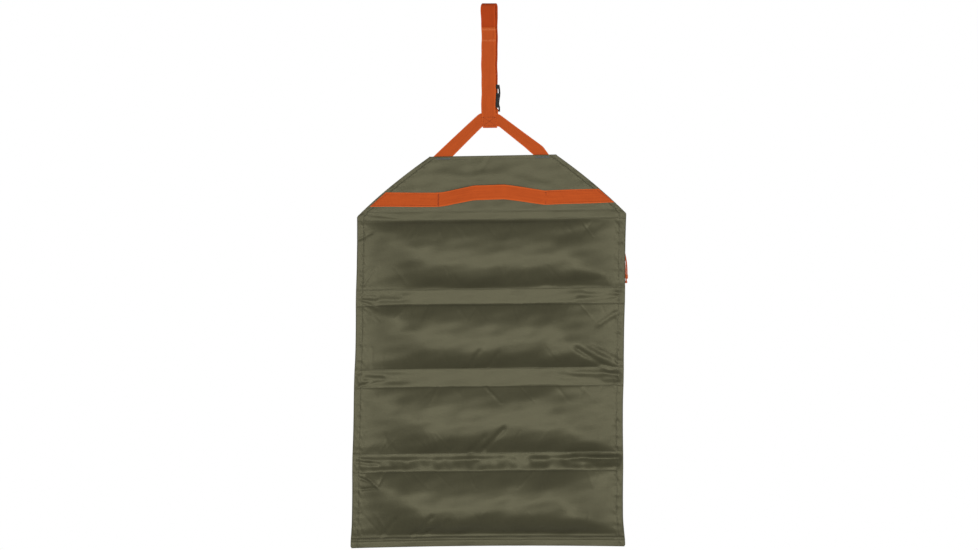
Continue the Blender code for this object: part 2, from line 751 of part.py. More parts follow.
def as_mesh(obj):
    """The evaluated object as a plain mesh object in its place."""
    graph = bpy.context.evaluated_depsgraph_get()
    mesh = bpy.data.meshes.new_from_object(obj.evaluated_get(graph))
    shape = bmesh.new()
    shape.from_mesh(mesh)
    bmesh.ops.remove_doubles(shape, verts=list(shape.verts), dist=0.00001)
    shape.to_mesh(mesh)
    shape.free()
    new = bpy.data.objects.new(obj.name, mesh)
    new.matrix_world = obj.matrix_world.copy()
    roll.objects.link(new)
    bpy.data.objects.remove(obj)
    return new


def zip_slider():
    """The slider over the zip's chain, with an arm and a headed pin that holds the cord pull."""
    zip_z = SEAM_1 - ZIP_BELOW_SEAM
    back = LINING_Y + TOUCH + POCKET_DEPTH
    plate_front = back + CHAIN_PROUD + TOUCH
    middle = ZIP_POCKET_HALF - SLIDER_INSET
    x_range = (middle - SLIDER_LENGTH / 2, middle + SLIDER_LENGTH / 2)
    z_range = (zip_z - SLIDER_HALF, zip_z + SLIDER_HALF)
    slider = block("zip_slider", x_range, (back + TOUCH, plate_front + SLIDER_THICK), z_range, ZIP_METAL)
    way = SLIDER_HALF - FLANGE_WIDTH
    way_x = (x_range[0] - CUT_PAST, x_range[1] + CUT_PAST)
    way_y = (back - CUT_PAST, plate_front)
    combine(slider, cutter("chain_way", way_x, way_y, (zip_z - way, zip_z + way)), "DIFFERENCE")
    pin_x, arm_back, pin_z, cord_y = pull_place()
    arm_x = (x_range[1] - ARM_ROOT, x_range[1] + ARM_REACH)
    arm_y = (plate_front + ARM_EASE, arm_back)
    arm = block("slider_arm", arm_x, arm_y, (zip_z - ARM_HALF, zip_z + ARM_HALF), None)
    combine(slider, arm, "UNION")
    head_low = cord_y + CORD_RADIUS + TOUCH
    head_top = head_low + PIN_HEAD_THICK
    pin_root = arm_back - ARM_THICK / 2
    profile = [
        (0.0, head_top),
        (PIN_HEAD_RADIUS * 0.8, head_top),
        (PIN_HEAD_RADIUS, (head_low + head_top) / 2),
        (PIN_HEAD_RADIUS, head_low),
        (PIN_RADIUS, head_low),
        (PIN_RADIUS, pin_root),
        (0.0, pin_root),
    ]
    pin = turned("slider_pin", profile, (pin_x, 0.0, pin_z), None)
    pin.rotation_euler = (-math.pi / 2, 0.0, 0.0)
    bpy.context.view_layer.update()
    combine(slider, as_mesh(pin), "UNION")


def zip_pull():
    """The orange cord looped over the slider's pin, and the knot and sealed end that join its strands."""
    pin_x, _, pin_z, cord_y = pull_place()
    reach = PIN_RADIUS + TOUCH + CORD_RADIUS
    close = CORD_RADIUS + STRAND_EASE
    points = []
    for step in range(9):
        share = step / 8
        side = close + (reach - close) * math.sin(math.pi / 2 * min(1.0, share * 1.6))
        lean = CORD_LEAN * (1 - share)
        points.append((-side + lean, -CORD_DROP * (1 - share)))
    bend = [(-x, z) for x, z in arc((0.0, 0.0), reach, 0, 180, 8)[1:-1]]
    other = [(2 * CORD_LEAN * (-z / CORD_DROP) - x, z) for x, z in reversed(points)]
    route = points + bend + other
    curve = bpy.data.curves.new("zip_pull_cord", "CURVE")
    curve.dimensions = "3D"
    curve.bevel_depth = CORD_RADIUS
    curve.bevel_resolution = 2
    curve.use_fill_caps = True
    spline = curve.splines.new("POLY")
    spline.points.add(len(route) - 1)
    for point, (x, z) in zip(spline.points, route):
        point.co = (pin_x + x, cord_y, pin_z + z, 1.0)
    add_object("zip_pull_cord", curve, CORD_ORANGE)
    neck = CORD_RADIUS
    profile = [
        (0.0, 0.0),
        (KNOT_RADIUS * 0.8, 0.0),
        (KNOT_RADIUS, -0.2 * KNOT_LENGTH),
        (KNOT_RADIUS * 0.85, -0.4 * KNOT_LENGTH),
        (neck, -0.52 * KNOT_LENGTH),
        (neck, -0.68 * KNOT_LENGTH),
        (neck * 1.8, -0.84 * KNOT_LENGTH),
        (neck * 1.3, -KNOT_LENGTH),
        (0.0, -KNOT_LENGTH),
    ]
    top = pin_z - CORD_DROP - TOUCH
    turned("zip_pull_knot", profile, (pin_x + CORD_LEAN, cord_y, top), CORD_ORANGE, 12)


clear_scene()
strap_front_run()
strap_loop()
bridle()
buckle_anchor()
buckle_socket()
buckle_clip()
buckle_prongs()
flap()
webbing_strip()
carry_handle()
bridle_feet()
row_layers(1, SEAM_1, SEAM_1_LOW, SEAM_1_LOW)
spine(12, SEAM_1_LOW, SEAM_2)
row_layers(2, SEAM_2, SEAM_2_LOW, SEAM_2_LOW)
spine(23, SEAM_2_LOW, SEAM_3)
row_layers(3, SEAM_3, SEAM_3_LOW, SEAM_3_LOW)
spine(34, SEAM_3_LOW, SEAM_4)
row_layers(4, SEAM_4, SEAM_4_LOW, BOTTOM)
zip_pocket()
zip_slider()
zip_pull()
pocket_panel(2, SEAM_2, SEAM_2_LOW, ROW_2_SLOTS)
pocket_panel(3, SEAM_3, SEAM_3_LOW, ROW_3_SLOTS)
pocket_panel(4, SEAM_4, SEAM_4_LOW, ROW_4_SLOTS)
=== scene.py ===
import math

import bmesh
import bpy
import numpy as np
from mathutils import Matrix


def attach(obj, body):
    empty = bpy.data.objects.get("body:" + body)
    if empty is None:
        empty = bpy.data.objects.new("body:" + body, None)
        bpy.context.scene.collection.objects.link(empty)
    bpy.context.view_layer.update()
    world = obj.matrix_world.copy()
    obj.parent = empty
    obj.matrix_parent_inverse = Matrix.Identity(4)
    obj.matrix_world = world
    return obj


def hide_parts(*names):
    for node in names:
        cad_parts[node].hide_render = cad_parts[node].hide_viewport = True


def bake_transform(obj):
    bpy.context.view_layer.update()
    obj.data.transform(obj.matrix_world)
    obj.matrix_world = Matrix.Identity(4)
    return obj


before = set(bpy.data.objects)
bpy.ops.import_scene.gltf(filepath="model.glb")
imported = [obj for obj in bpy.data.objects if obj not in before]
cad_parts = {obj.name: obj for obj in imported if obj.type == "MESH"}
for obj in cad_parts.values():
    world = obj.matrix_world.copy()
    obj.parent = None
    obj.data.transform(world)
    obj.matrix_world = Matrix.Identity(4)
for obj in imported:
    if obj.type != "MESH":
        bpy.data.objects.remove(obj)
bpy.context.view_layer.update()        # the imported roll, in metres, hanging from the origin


# The photograph's view: level, square to the olive face, from so far away that the roll hardly
# narrows. One pixel of the 978 by 550 frame covers 1.745 mm of the cloth.
PIXEL, FRAME_WIDTH, FILM_WIDTH = 0.001745, 978, 36.0
CAMERA_AWAY, CAMERA_HEIGHT, FACE_DEPTH = 4.0, -0.474, 0.0097


def in_scene(name, data):
    """An object at the origin that holds a mesh, a lamp or a camera, linked to the scene."""
    obj = bpy.data.objects.new(name, data)
    bpy.context.scene.collection.objects.link(obj)
    return obj


camera = in_scene("camera", bpy.data.cameras.new("camera"))
camera.data.sensor_width = FILM_WIDTH
camera.data.lens = FILM_WIDTH * CAMERA_AWAY / (FRAME_WIDTH * PIXEL)
camera.data.clip_end = 10 * CAMERA_AWAY
camera.location = (0.0, -CAMERA_AWAY - FACE_DEPTH, CAMERA_HEIGHT)
camera.rotation_euler = (math.pi / 2, 0.0, 0.0)
bpy.context.scene.camera = camera


# The zip's pull: a thin braided cord looped over the headed pin of the slider, both strands
# running down into a barrel knot. It is limp, and hangs beside the cloth's edge.
PIN_X, CORD_Y, ZIP_Z = 0.2333, 0.00365, -0.431
CORD_RADIUS, PIN_REACH, STRAND_CLOSE = 0.00125, 0.00285, 0.00135
CORD_DROP, CORD_LEAN, BRAID_PITCH = 0.042, 0.0068, 0.0021
TURN_DROP, TURN_RISE = 0.0008, 0.002
KNOT_WRAPS, WRAP_REACH, WRAP_RADIUS = 3.1, 0.0022, 0.00115
# The knot's core from its top down: how far below it each radius is, to the melted end.
KNOT_CORE = (
    (0.0, 0.0012), (-0.0008, 0.0022), (-0.0062, 0.0022), (-0.0072, 0.0014), (-0.0082, 0.00125),
    (-0.0105, 0.00125), (-0.0116, 0.0016), (-0.0128, 0.0023), (-0.0142, 0.0022), (-0.0152, 0.0012),
)


def unit(vectors):
    """Vectors of the same headings, each one long."""
    return vectors / np.linalg.norm(vectors, axis=-1, keepdims=True)


def lengths_along(path):
    """Each point's distance along a path from its start."""
    steps = np.linalg.norm(np.diff(path, axis=0), axis=1)
    return np.concatenate([[0.0], np.cumsum(steps)])


def square_grid(lines, columns, round_it=False):
    """Quads of a grid of points, with each corner's line and column. Round it joins the last column to
    the first."""
    spans = columns if round_it else columns - 1
    line, column = np.meshgrid(np.arange(lines - 1), np.arange(spans), indexing="ij")
    lines_of = np.stack([line, line, line + 1, line + 1], axis=-1).reshape(-1, 4)
    columns_of = np.stack([column, column + 1, column + 1, column], axis=-1).reshape(-1, 4)
    return lines_of * columns + columns_of % columns, lines_of, columns_of


def end_caps(count, rings):
    """Quads that close both ends of a section carried along a path: rungs across its first ring and
    across its last, each from a point to the one as far from the ring's other end."""
    rung = np.arange(count // 2 - 1)
    cap = np.stack([rung, rung + 1, count - 2 - rung, count - 1 - rung], axis=-1)
    return np.concatenate([cap[:, ::-1], cap + (rings - 1) * count])


def tube(path, radius, sides, aside):
    """A rod along a path: each point gets a ring of that radius, square to the path, whose first
    direction is the cross product of the path's own with aside. U is the share of the way round, V the
    distance along, and its ends are closed."""
    along = unit(np.gradient(path, axis=0))
    across = unit(np.cross(along, np.broadcast_to(aside, path.shape)))
    up = np.cross(across, along)
    turn = np.linspace(0, 2 * np.pi, sides, endpoint=False)[None, :, None]
    radii = np.broadcast_to(radius, len(path))[:, None, None]
    rings = path[:, None] + radii * (np.cos(turn) * across[:, None] + np.sin(turn) * up[:, None])
    quads, lines_of, columns_of = square_grid(len(path), sides, True)
    caps = end_caps(sides, len(path))
    places = np.stack([columns_of / sides, lengths_along(path)[lines_of]], axis=-1)
    places = np.concatenate([places, np.zeros((len(caps), 4, 2))])
    return rings.reshape(-1, 3), np.concatenate([quads, caps]), places, 0


def piece(name, shells, finishes, sharp=40, normals=None):
    """One object at the origin from closed shells of points, quads, corner places and a finish number.
    A shell whose volume comes out negative has its faces turned round, so that all point outwards.
    Its edges are sharp past an angle in degrees, or else its first points are given their normals."""
    points, quads, places, numbers, start = [], [], [], [], 0
    for shell_points, shell_quads, shell_places, number in shells:
        a, b, c, d = (shell_points[shell_quads[:, k]] for k in range(4))
        volume = (a * (np.cross(b, c) + np.cross(c, d))).sum()
        way = 1 if volume > 0 else -1
        points.append(shell_points)
        quads.append(shell_quads[:, ::way] + start)
        places.append(shell_places[:, ::way])
        numbers.append(np.full(len(shell_quads), number, dtype=np.int32))
        start += len(shell_points)
    points, quads = np.concatenate(points), np.concatenate(quads)
    mesh = bpy.data.meshes.new(name)
    mesh.vertices.add(len(points))
    mesh.vertices.foreach_set("co", points.astype(np.float32).ravel())
    mesh.loops.add(quads.size)
    mesh.loops.foreach_set("vertex_index", quads.astype(np.int32).ravel())
    mesh.polygons.add(len(quads))
    mesh.polygons.foreach_set("loop_start", np.arange(0, quads.size, 4, dtype=np.int32))
    mesh.polygons.foreach_set("material_index", np.concatenate(numbers))
    mesh.update(calc_edges=True)
    flat = mesh.uv_layers.new(name="flat")
    flat.data.foreach_set("uv", np.concatenate(places).astype(np.float32).ravel())
    for finish in finishes:
        mesh.materials.append(finish)
    mesh.shade_smooth()
    if normals is None:
        mesh.set_sharp_from_angle(angle=math.radians(sharp))
    else:
        own = np.zeros(3 * len(points), dtype=np.float32)
        mesh.vertices.foreach_get("normal", own)
        own = own.reshape(-1, 3)
        own[: len(normals)] = normals
        mesh.normals_split_custom_set_from_vertices(own)
    return in_scene(name, mesh)


def add(tree, kind, inputs=None, **settings):
    """A shader node with its settings, and each input either set to a value or joined to a socket."""
    made = tree.nodes.new(kind)
    for setting, value in settings.items():
        setattr(made, setting, value)
    for name, value in (inputs or {}).items():
        if isinstance(value, bpy.types.NodeSocket):
            tree.links.new(value, made.inputs[name])
        else:
            made.inputs[name].default_value = value
    return made


def sums(tree, operation, a, b=0.0):
    """The output of one Math node."""
    return add(tree, "ShaderNodeMath", {0: a, 1: b}, operation=operation).outputs[0]


def humps(tree, phase):
    """A row of humps: the size of a wave of that phase, leaving out its sign."""
    return sums(tree, "ABSOLUTE", sums(tree, "SINE", phase))


def finish_of(name, colour, roughness, specular=0.5, sheen=0.0, tint=(1.0, 1.0, 1.0)):
    """A material with its plain values on the shader's own sockets, its node tree and its shader."""
    made = bpy.data.materials.new(name)
    made.use_nodes = True
    shader = made.node_tree.nodes["Principled BSDF"]
    shader.inputs["Base Color"].default_value = (*colour, 1.0)
    shader.inputs["Roughness"].default_value = roughness
    shader.inputs["Specular IOR Level"].default_value = specular
    shader.inputs["Specular Tint"].default_value = (*tint, 1.0)
    shader.inputs["Sheen Weight"].default_value = sheen
    return made, made.node_tree, shader


def colour_between(tree, shader, mask, dark, light):
    """Colours a shader from dark to light, by a mask from 0 to 1."""
    tones = {"Factor": mask, "A": (*dark, 1.0), "B": (*light, 1.0)}
    mixed = add(tree, "ShaderNodeMix", tones, data_type="RGBA")
    tree.links.new(mixed.outputs["Result"], shader.inputs["Base Color"])


def raise_by(tree, shader, height, depth):
    """Puts a height from 0 to 1 on a shader as a bump of that many metres."""
    bump = add(tree, "ShaderNodeBump", {"Height": height, "Distance": depth, "Strength": 1.0})
    tree.links.new(bump.outputs["Normal"], shader.inputs["Normal"])


def braid_finish():
    """Orange braid: two sets of strands that cross round the cord, each a wave in V plus or minus U, with
    painted shade that darkens the colour between the strands.
    """
    made, tree, shader = finish_of("orange_braid", (0.42, 0.080, 0.018), 0.70, 0.15)
    place = add(tree, "ShaderNodeSeparateXYZ", {0: add(tree, "ShaderNodeUVMap").outputs[0]})
    round_it = sums(tree, "MULTIPLY", place.outputs[0], 4 * np.pi)
    along = sums(tree, "MULTIPLY", place.outputs[1], np.pi / BRAID_PITCH)
    left, right = (humps(tree, sums(tree, way, round_it, along)) for way in ("ADD", "SUBTRACT"))
    height = sums(tree, "MAXIMUM", left, right)
    # Painted shade: the colour is darker where the strands are low, between them.
    colour_between(tree, shader, height, (0.24, 0.038, 0.010), (0.56, 0.100, 0.020))
    raise_by(tree, shader, height, 0.0004)
    return made


BRAID = braid_finish()


def pull_path():
    """The loop's middle line: over the pin, down the right strand, round inside the knot, and back up.
    The strands close as a cube of the share left, and lean out more and more as they go down."""
    share = np.linspace(1, 0, 14)
    side = STRAND_CLOSE + (PIN_REACH - STRAND_CLOSE) * share**3
    lean, drop = CORD_LEAN * (1 - share**2.4), -CORD_DROP * (1 - share)
    over, under = np.radians(np.linspace(89, 10, 7)), np.radians(np.linspace(-10, -170, 7))
    first = PIN_REACH * np.stack([np.cos(over), np.sin(over)], axis=-1)
    down = np.stack([side + lean, drop], axis=-1)
    inside = np.stack([1.4 * STRAND_CLOSE * np.cos(under), TURN_RISE * np.sin(under)], axis=-1)
    inside += (CORD_LEAN, -CORD_DROP - TURN_DROP)
    up = np.stack([lean - side, drop], axis=-1)[::-1]
    last = first[::-1] * (-1, 1)
    x, z = np.concatenate([first, down, inside, up, last]).T
    return np.stack([PIN_X + x, 0 * x + CORD_Y, ZIP_Z + z], axis=-1)


pull_line = pull_path()
pull_cord = piece("pull_cord", [tube(pull_line, CORD_RADIUS, 12, (0.0, 1.0, 0.0))], [BRAID], sharp=80)


def knot_shells():
    """A barrel knot: wraps that go down round the strands as a helix, over a round core whose radii run
    straight between the chosen ones, to a short neck and a melted end that keeps it from fraying."""
    x, top = PIN_X + CORD_LEAN, ZIP_Z - CORD_DROP - 0.0001
    angle = np.linspace(0, 2 * np.pi * KNOT_WRAPS, 90)
    reach = WRAP_REACH + 0.0001 * np.sin(3 * angle)
    depth = CORD_Y + 0.72 * reach * np.sin(angle)
    height = top - 0.0012 - 0.0052 * angle / angle[-1]
    wraps = np.stack([x + reach * np.cos(angle), depth, height], axis=-1)
    spin = np.stack([np.cos(angle), np.sin(angle), 0 * angle], axis=-1)
    drops, radii = np.transpose(KNOT_CORE)
    drop = np.linspace(drops[0], drops[-1], 40)
    core = np.stack([0 * drop + x, 0 * drop + CORD_Y, top + drop], axis=-1)
    core_radius = np.interp(-drop, -drops, radii)
    return [tube(wraps, WRAP_RADIUS, 10, spin), tube(core, core_radius, 16, (0.0, 1.0, 0.0))]


pull_knot = piece("pull_knot", knot_shells(), [BRAID], sharp=70)
for part in (pull_cord, pull_knot):
    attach(part, "zip_pull")
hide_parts("zip_pull_cord")
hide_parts("zip_pull_knot")


# The outer cloth: one length of closely woven olive cloth, from the flap's top edge to the hem. Rows
# of quilting swell out between the stitched spines, and the cloth hangs a little crooked. It is cut
# here wherever the roll folds, and the row it covers takes its padding with it.
HALF_WIDTH, FLAP_TOP_HALF = 0.235, 0.110
FLAP_TOP, SHOULDER, BOTTOM = -0.2655, -0.3693, -0.9467
ROWS = ((-0.3737, -0.5007), (-0.5227, -0.6397), (-0.6657, -0.7877), (-0.8137, -0.9337))
CLOTH_Y, CLOTH_PITCH = -0.00965, 0.0016
EDGE_ROUND, EDGE_BAND, EDGE_PITCH, SEAM_REACH = 0.0009, 0.016, 0.0009, 0.002
SIDE_STITCH, SEAM_STITCH, EDGE_STITCH = 0.011, 0.003, 0.006
FLAP_SEAM, HEM_STITCHES = -0.3623, (-0.9311, -0.9363)
THREAD_LENGTH, THREAD_PITCH, THREAD_RADIUS = 0.0025, 0.0034, 0.00024
# How the cloth hangs, by height: how far it slips to the right, and how steeply its level lines climb.
LEAN = (
    (-0.9467, -0.0019), (-0.898, -0.0027), (-0.789, -0.0021), (-0.695, -0.0011), (-0.602, 0.0012),
    (-0.3737, 0.0046), (-0.2653, 0.0066), (-0.20, 0.0), (-0.19, -0.0009),
)
TILT = ((-0.9467, 0.0070), (-0.83, 0.0122), (-0.33, 0.0125), (-0.2653, 0.018), (-0.19, 0.0))
LOW_CORNERS, CORNERS_FROM, CORNERS_OVER, CORNER_ROUND = 0.0026, -0.86, 0.08, 0.004
# How the side edges run: bowed along the flap, drawn in beside the rows, and spread lower down.
FLAP_BOW, ROW_DRAW, DRAWN_FULL = 0.022, 0.0007, 0.0036
ROW_SPREAD, SPREAD_FROM, SPREAD_OVER = 0.0024, -0.617, 0.286
HEM_SPREAD, HEM_FROM, HEM_OVER = 0.0024, -0.896, 0.05


def smooth(share):
    """0 below nothing, 1 above one, and an even S between."""
    share = np.clip(share, 0.0, 1.0)
    return share * share * (3 - 2 * share)


def bell(away, width):
    """1 at nothing, falling off to both sides as a bell of that width."""
    return np.exp(-((away / width) ** 2))


def waves(seed, x, z, longest, shortest, count=9):
    """An uneven field of about -1 to 1: plane waves whose headings and phases come from the seed."""
    rng = np.random.default_rng(seed)
    field = 0 * (x + z)
    for length in np.geomspace(longest, shortest, count):
        heading, phase = rng.uniform(0, 2 * np.pi, 2)
        across = x * np.cos(heading) + z * np.sin(heading)
        field = field + np.sin(across * 2 * np.pi / length + phase)
    return field / (1.3 * math.sqrt(count))


def lean_at(z):
    """How far the hanging cloth has slipped to the right at a height."""
    return np.interp(z, *np.transpose(LEAN))


def tilt_at(z):
    """How steeply the cloth's level lines climb to the right at a height."""
    return np.interp(z, *np.transpose(TILT))


def hang(x, y, z):
    """Straight places moved to where the crooked cloth has them: by its lean, its tilt, and the low
    corners of the hem, which hang a little below its middle."""
    x, y, z = np.broadcast_arrays(x, y, z)
    corners = LOW_CORNERS * smooth((CORNERS_FROM - z) / CORNERS_OVER) * (x / HALF_WIDTH) ** 2
    return np.stack([x + lean_at(z), y, z + tilt_at(z) * x - corners], axis=-1)


def half_at(z):
    """Half the cloth's width at a height: slanting over the flap and bowed out most halfway up it, drawn
    in a little by each row, slowly wider below the first two rows, and spread a little at the hem,
    whose corners are round."""
    half = np.interp(z, [SHOULDER, FLAP_TOP], [HALF_WIDTH, FLAP_TOP_HALF])
    share = np.clip((z - SHOULDER) / (FLAP_TOP - SHOULDER), 0, 1)
    drawn = sum(np.clip((high - z) * (z - low) / DRAWN_FULL, 0, 1) for high, low in ROWS)
    corner = np.clip(1 - (z - BOTTOM) / CORNER_ROUND, 0, 1)
    spread = ROW_SPREAD * np.clip((SPREAD_FROM - z) / SPREAD_OVER, 0, 1)
    spread = spread + HEM_SPREAD * smooth((HEM_FROM - z) / HEM_OVER)
    half = half + FLAP_BOW * share * (1 - share) - ROW_DRAW * drawn + spread
    return half - CORNER_ROUND * (1 - np.sqrt(1 - corner**2))


# Each crease's line from one flat place to another, its width and its depth. A depth below nothing is
# a low ridge.
CREASES = np.array([
    (0.115, -0.411, 0.181, -0.394, 0.0090, 0.0016), (0.090, -0.491, 0.192, -0.483, 0.0070, 0.0014),
    (0.150, -0.603, 0.214, -0.642, 0.0050, 0.0026), (0.175, -0.600, 0.231, -0.629, 0.0050, 0.0014),
    (0.187, -0.564, 0.223, -0.541, 0.0050, 0.0014), (-0.034, -0.632, -0.017, -0.605, 0.0045, 0.0012),
    (-0.003, -0.635, 0.016, -0.609, 0.0045, 0.0010), (-0.008, -0.779, 0.029, -0.741, 0.0050, 0.0022),
    (-0.032, -0.782, -0.004, -0.755, 0.0050, 0.0012), (0.150, -0.517, 0.205, -0.515, 0.0045, 0.0015),
    (0.165, -0.505, 0.214, -0.510, 0.0045, 0.0010), (0.205, -0.515, 0.226, -0.513, 0.0040, 0.0014),
    (-0.224, -0.509, -0.198, -0.512, 0.0050, 0.0021), (-0.196, -0.507, -0.155, -0.510, 0.0050, 0.0009),
    (0.124, -0.652, 0.196, -0.659, 0.0065, 0.0019), (0.196, -0.6465, 0.226, -0.6505, 0.0045, -0.0014),
    (-0.220, -0.650, -0.184, -0.654, 0.0055, 0.0019), (0.146, -0.7935, 0.231, -0.7955, 0.0046, -0.0024),
    (0.180, -0.806, 0.222, -0.810, 0.0045, 0.0009), (-0.223, -0.826, -0.204, -0.833, 0.0025, 0.0012),
    (-0.221, -0.846, -0.195, -0.843, 0.0025, 0.0012), (-0.211, -0.824, -0.190, -0.843, 0.0030, -0.0012),
    (-0.158, -0.896, -0.187, -0.929, 0.0040, 0.0015), (-0.095, -0.893, -0.133, -0.928, 0.0045, 0.0017),
    (-0.065, -0.902, -0.107, -0.923, 0.0050, 0.0015), (-0.088, -0.2985, -0.050, -0.3015, 0.0095, -0.0010),
    (-0.030, -0.3015, 0.032, -0.2985, 0.0100, -0.0011), (-0.008, -0.270, -0.018, -0.289, 0.0050, 0.0006),
    (0.048, -0.295, 0.118, -0.317, 0.0080, 0.0006), (-0.231, -0.515, -0.196, -0.531, 0.0030, 0.0010),
    (-0.229, -0.668, -0.198, -0.655, 0.0030, 0.0010), (-0.231, -0.797, -0.189, -0.802, 0.0035, 0.0013),
    (-0.233, -0.410, -0.208, -0.398, 0.0030, 0.0008), (-0.233, -0.363, -0.160, -0.373, 0.0025, 0.0007),
])


def creases(x, z):
    """Dents along the creases' lines: a bell across each line, fading over its ends."""
    dent = 0 * x
    for x0, z0, x1, z1, width, depth in CREASES:
        run = math.hypot(x1 - x0, z1 - z0)
        along = ((x - x0) * (x1 - x0) + (z - z0) * (z1 - z0)) / run
        beside = ((x - x0) * (z1 - z0) - (z - z0) * (x1 - x0)) / run
        past = np.maximum(0, np.abs(along - run / 2) - run / 2 + width)
        dent -= depth * bell(beside, width) * bell(past, 1.5 * width)
    return dent


def gathers(seed, x, away, count, reach, height):
    """Small slanting folds that run out from a seam: bells across x that fade with the way from it."""
    rng = np.random.default_rng(seed)
    folds = 0 * x
    near = (away > -0.001) & (away < 3.2 * reach)
    at, off = x[near], away[near]
    found = 0 * at
    for _ in range(count):
        place, slant = rng.uniform(-HALF_WIDTH, HALF_WIDTH), rng.uniform(-1.1, 1.1)
        width, own, size = rng.uniform(0.002, 0.0045), reach * rng.uniform(0.5, 1.3), rng.uniform(-1, 1)
        share = np.maximum(off, 0) / own
        found += size * share * np.exp(1 - share) * bell(at - place - slant * off, width)
    folds[near] = height * found
    return folds


CRISP_RUN = 0.0045


def rise(away, start, length, power, crisp=0.0):
    """A row's height near a seam as a share: nothing up to its start, then one part of it, crisp, rises
    within a few millimetres, and the rest over the length."""
    past = np.maximum(0, away - start)
    at_once, along = 1 - np.exp(-past / CRISP_RUN), 1 - np.exp(-((past / length) ** power))
    return crisp * at_once + (1 - crisp) * along


# How each row swells: how far below its upper seam it starts, which share of it rises there at once,
# and over what length the rest; the start and the length at its lower seam; how far it stands out; and
# by what share its upper length is longer towards the right.
ROW_SHAPES = (
    (0.0060, 0.30, 0.0320, 0.0050, 0.0205, 0.0176, 0.0),
    (0.0010, 0.20, 0.0270, 0.0035, 0.0170, 0.0160, 0.3),
    (0.0010, 0.12, 0.0330, 0.0045, 0.0180, 0.0140, 0.2),
    (0.0008, 0.10, 0.0325, 0.0090, 0.0165, 0.0222, -0.4),
)
ROW_INSET, ROW_WAVER, ROW_TAPER = 0.009, 0.19, 0.070
GROOVE_DEPTH, GROOVE_WIDTH = 0.00045, 0.0011
SPINE_MIDDLES = [(low + high) / 2 for (_, low), (high, _) in zip(ROWS, ROWS[1:])]
SLACK_FROM, SLACK_TO, SLACK_DEPTH, CRUMPLE_DEPTH, PROUD_ENDS = -0.7880, -0.8135, 0.0028, 0.0012, 0.0013
DEEPEST, DEEPEST_EASE = -0.0007, 0.00025


def stitch_groove(away):
    """The dent that a row of stitches pulls into the cloth, by the way from it."""
    return -GROOVE_DEPTH * bell(away, GROOVE_WIDTH)


def row_height(number, x, z, side):
    """One row's height at places so far from the cloth's side: its swell, which rises from both seams
    over lengths that waver along it, shorter near its rounded ends; gathers; and the seams' stitches."""
    high, low = ROWS[number]
    top_start, crisp, top_run, low_start, low_run, swell, right = ROW_SHAPES[number]
    down, up = high - z, z - low
    shorter = 0.42 + 0.58 * smooth((side - ROW_INSET) / 0.085)
    upper = waves(11 + number, x + 0.8 * down, 0.4 * z, 0.25, 0.055)
    lower = waves(21 + number, x - 0.9 * up, 0.4 * z, 0.28, 0.060)
    top_run = top_run * (1 + right * smooth((x - 0.04) / 0.12)) * (1 + ROW_WAVER * upper) * shorter
    low_run = low_run * (1 + 0.2 * smooth((-x - 0.075) / 0.10)) * (1 + ROW_WAVER * lower) * shorter
    body = swell * rise(down, top_start + 0.0004 * upper, top_run, 1.4, crisp)
    body *= rise(up, low_start + 0.0006 * lower, low_run, 1.3)
    share = smooth(down / (high - low))
    taper = ROW_TAPER * (1 + np.where(x < 0, share, 1 - share))
    body *= 0.06 + 0.94 * smooth((side - ROW_INSET) / taper)
    body *= 1 + 0.026 * waves(31 + number, x, z, 0.20, 0.05, 6)
    folds = gathers(41 + number, x, down - top_start, 34, 0.010, 0.0005)
    folds += gathers(51 + number, x, up - low_start, 28, 0.012, 0.0004)
    height = np.where((down > 0) & (up > 0), body, 0) + folds * smooth(side / 0.012)
    return height + stitch_groove(down - SEAM_STITCH) + stitch_groove(up - SEAM_STITCH)


def spine_height(x, z, side):
    """The spines' height: the lowest is crumpled about its middle and hangs slack from row 3, and the
    ends of each stand a little proud."""
    crumple = CRUMPLE_DEPTH * bell(z - SPINE_MIDDLES[-1], 0.011) * smooth(side / 0.02)
    height = crumple * waves(71, x, 0.7 * z, 0.110, 0.018)
    slack = smooth((SLACK_FROM - z) / 0.0085) * smooth((z - SLACK_TO) / 0.0185) * smooth(side / 0.03)
    height += SLACK_DEPTH * slack * (0.75 + 0.55 * waves(73, x, z, 0.130, 0.030))
    for (_, above), (below, _) in zip(ROWS, ROWS[1:]):
        inside = smooth((above - z) / 0.009) * smooth((z - below) / 0.009)
        height += PROUD_ENDS * inside * smooth((np.abs(x) - 0.11) / 0.06) * smooth(side / 0.010)
    return height


def cloth_height(x, z):
    """How far the outer cloth stands off its flat face: soft waves, rows, puckers along the side edges,
    spines, creases and stitch lines. No dent goes deeper than the lining behind allows."""
    side = half_at(z) - np.abs(x)
    height = 0.00035 * waves(3, x, z, 0.12, 0.02) * smooth(side / 0.006)
    for number in range(len(ROWS)):
        height += row_height(number, x, z, side)
    height += 0.00035 * waves(61, x, z, 0.030, 0.008) * bell(side - SIDE_STITCH, 0.008)
    height += spine_height(x, z, side) + creases(x, z) + stitch_groove(side - SIDE_STITCH)
    for line in HEM_STITCHES:
        height += stitch_groove(z - line)
    height -= 0.0004 * bell(z - FLAP_SEAM, 0.0014)
    height = DEEPEST_EASE * np.logaddexp(0, (height - DEEPEST) / DEEPEST_EASE) + DEEPEST
    return height * smooth((side + 0.0004) / 0.0022)


STOP_CLEAR, LINE_CLEAR = 0.0004, 0.0006
ROLL = np.radians([28.0, 56.0, 84.0])


def lines_down(stops, pitch, fine):
    """Heights from stop to stop at about one pitch, with closer ones on each side of every fine line."""
    coarse = [
        np.linspace(a, b, max(2, round((a - b) / pitch)), endpoint=False) for a, b in zip(stops, stops[1:])
    ]
    coarse = np.concatenate(coarse + [[stops[-1]]])
    near = (np.array(fine)[:, None] + EDGE_PITCH * np.arange(-2, 3)).ravel()
    near = near[np.abs(near[:, None] - np.array(stops)).min(axis=1) > STOP_CLEAR]
    kept = (np.abs(coarse[:, None] - near).min(axis=1) > LINE_CLEAR) | np.isin(coarse, stops)
    return np.sort(np.concatenate([coarse[kept], near]))[::-1]


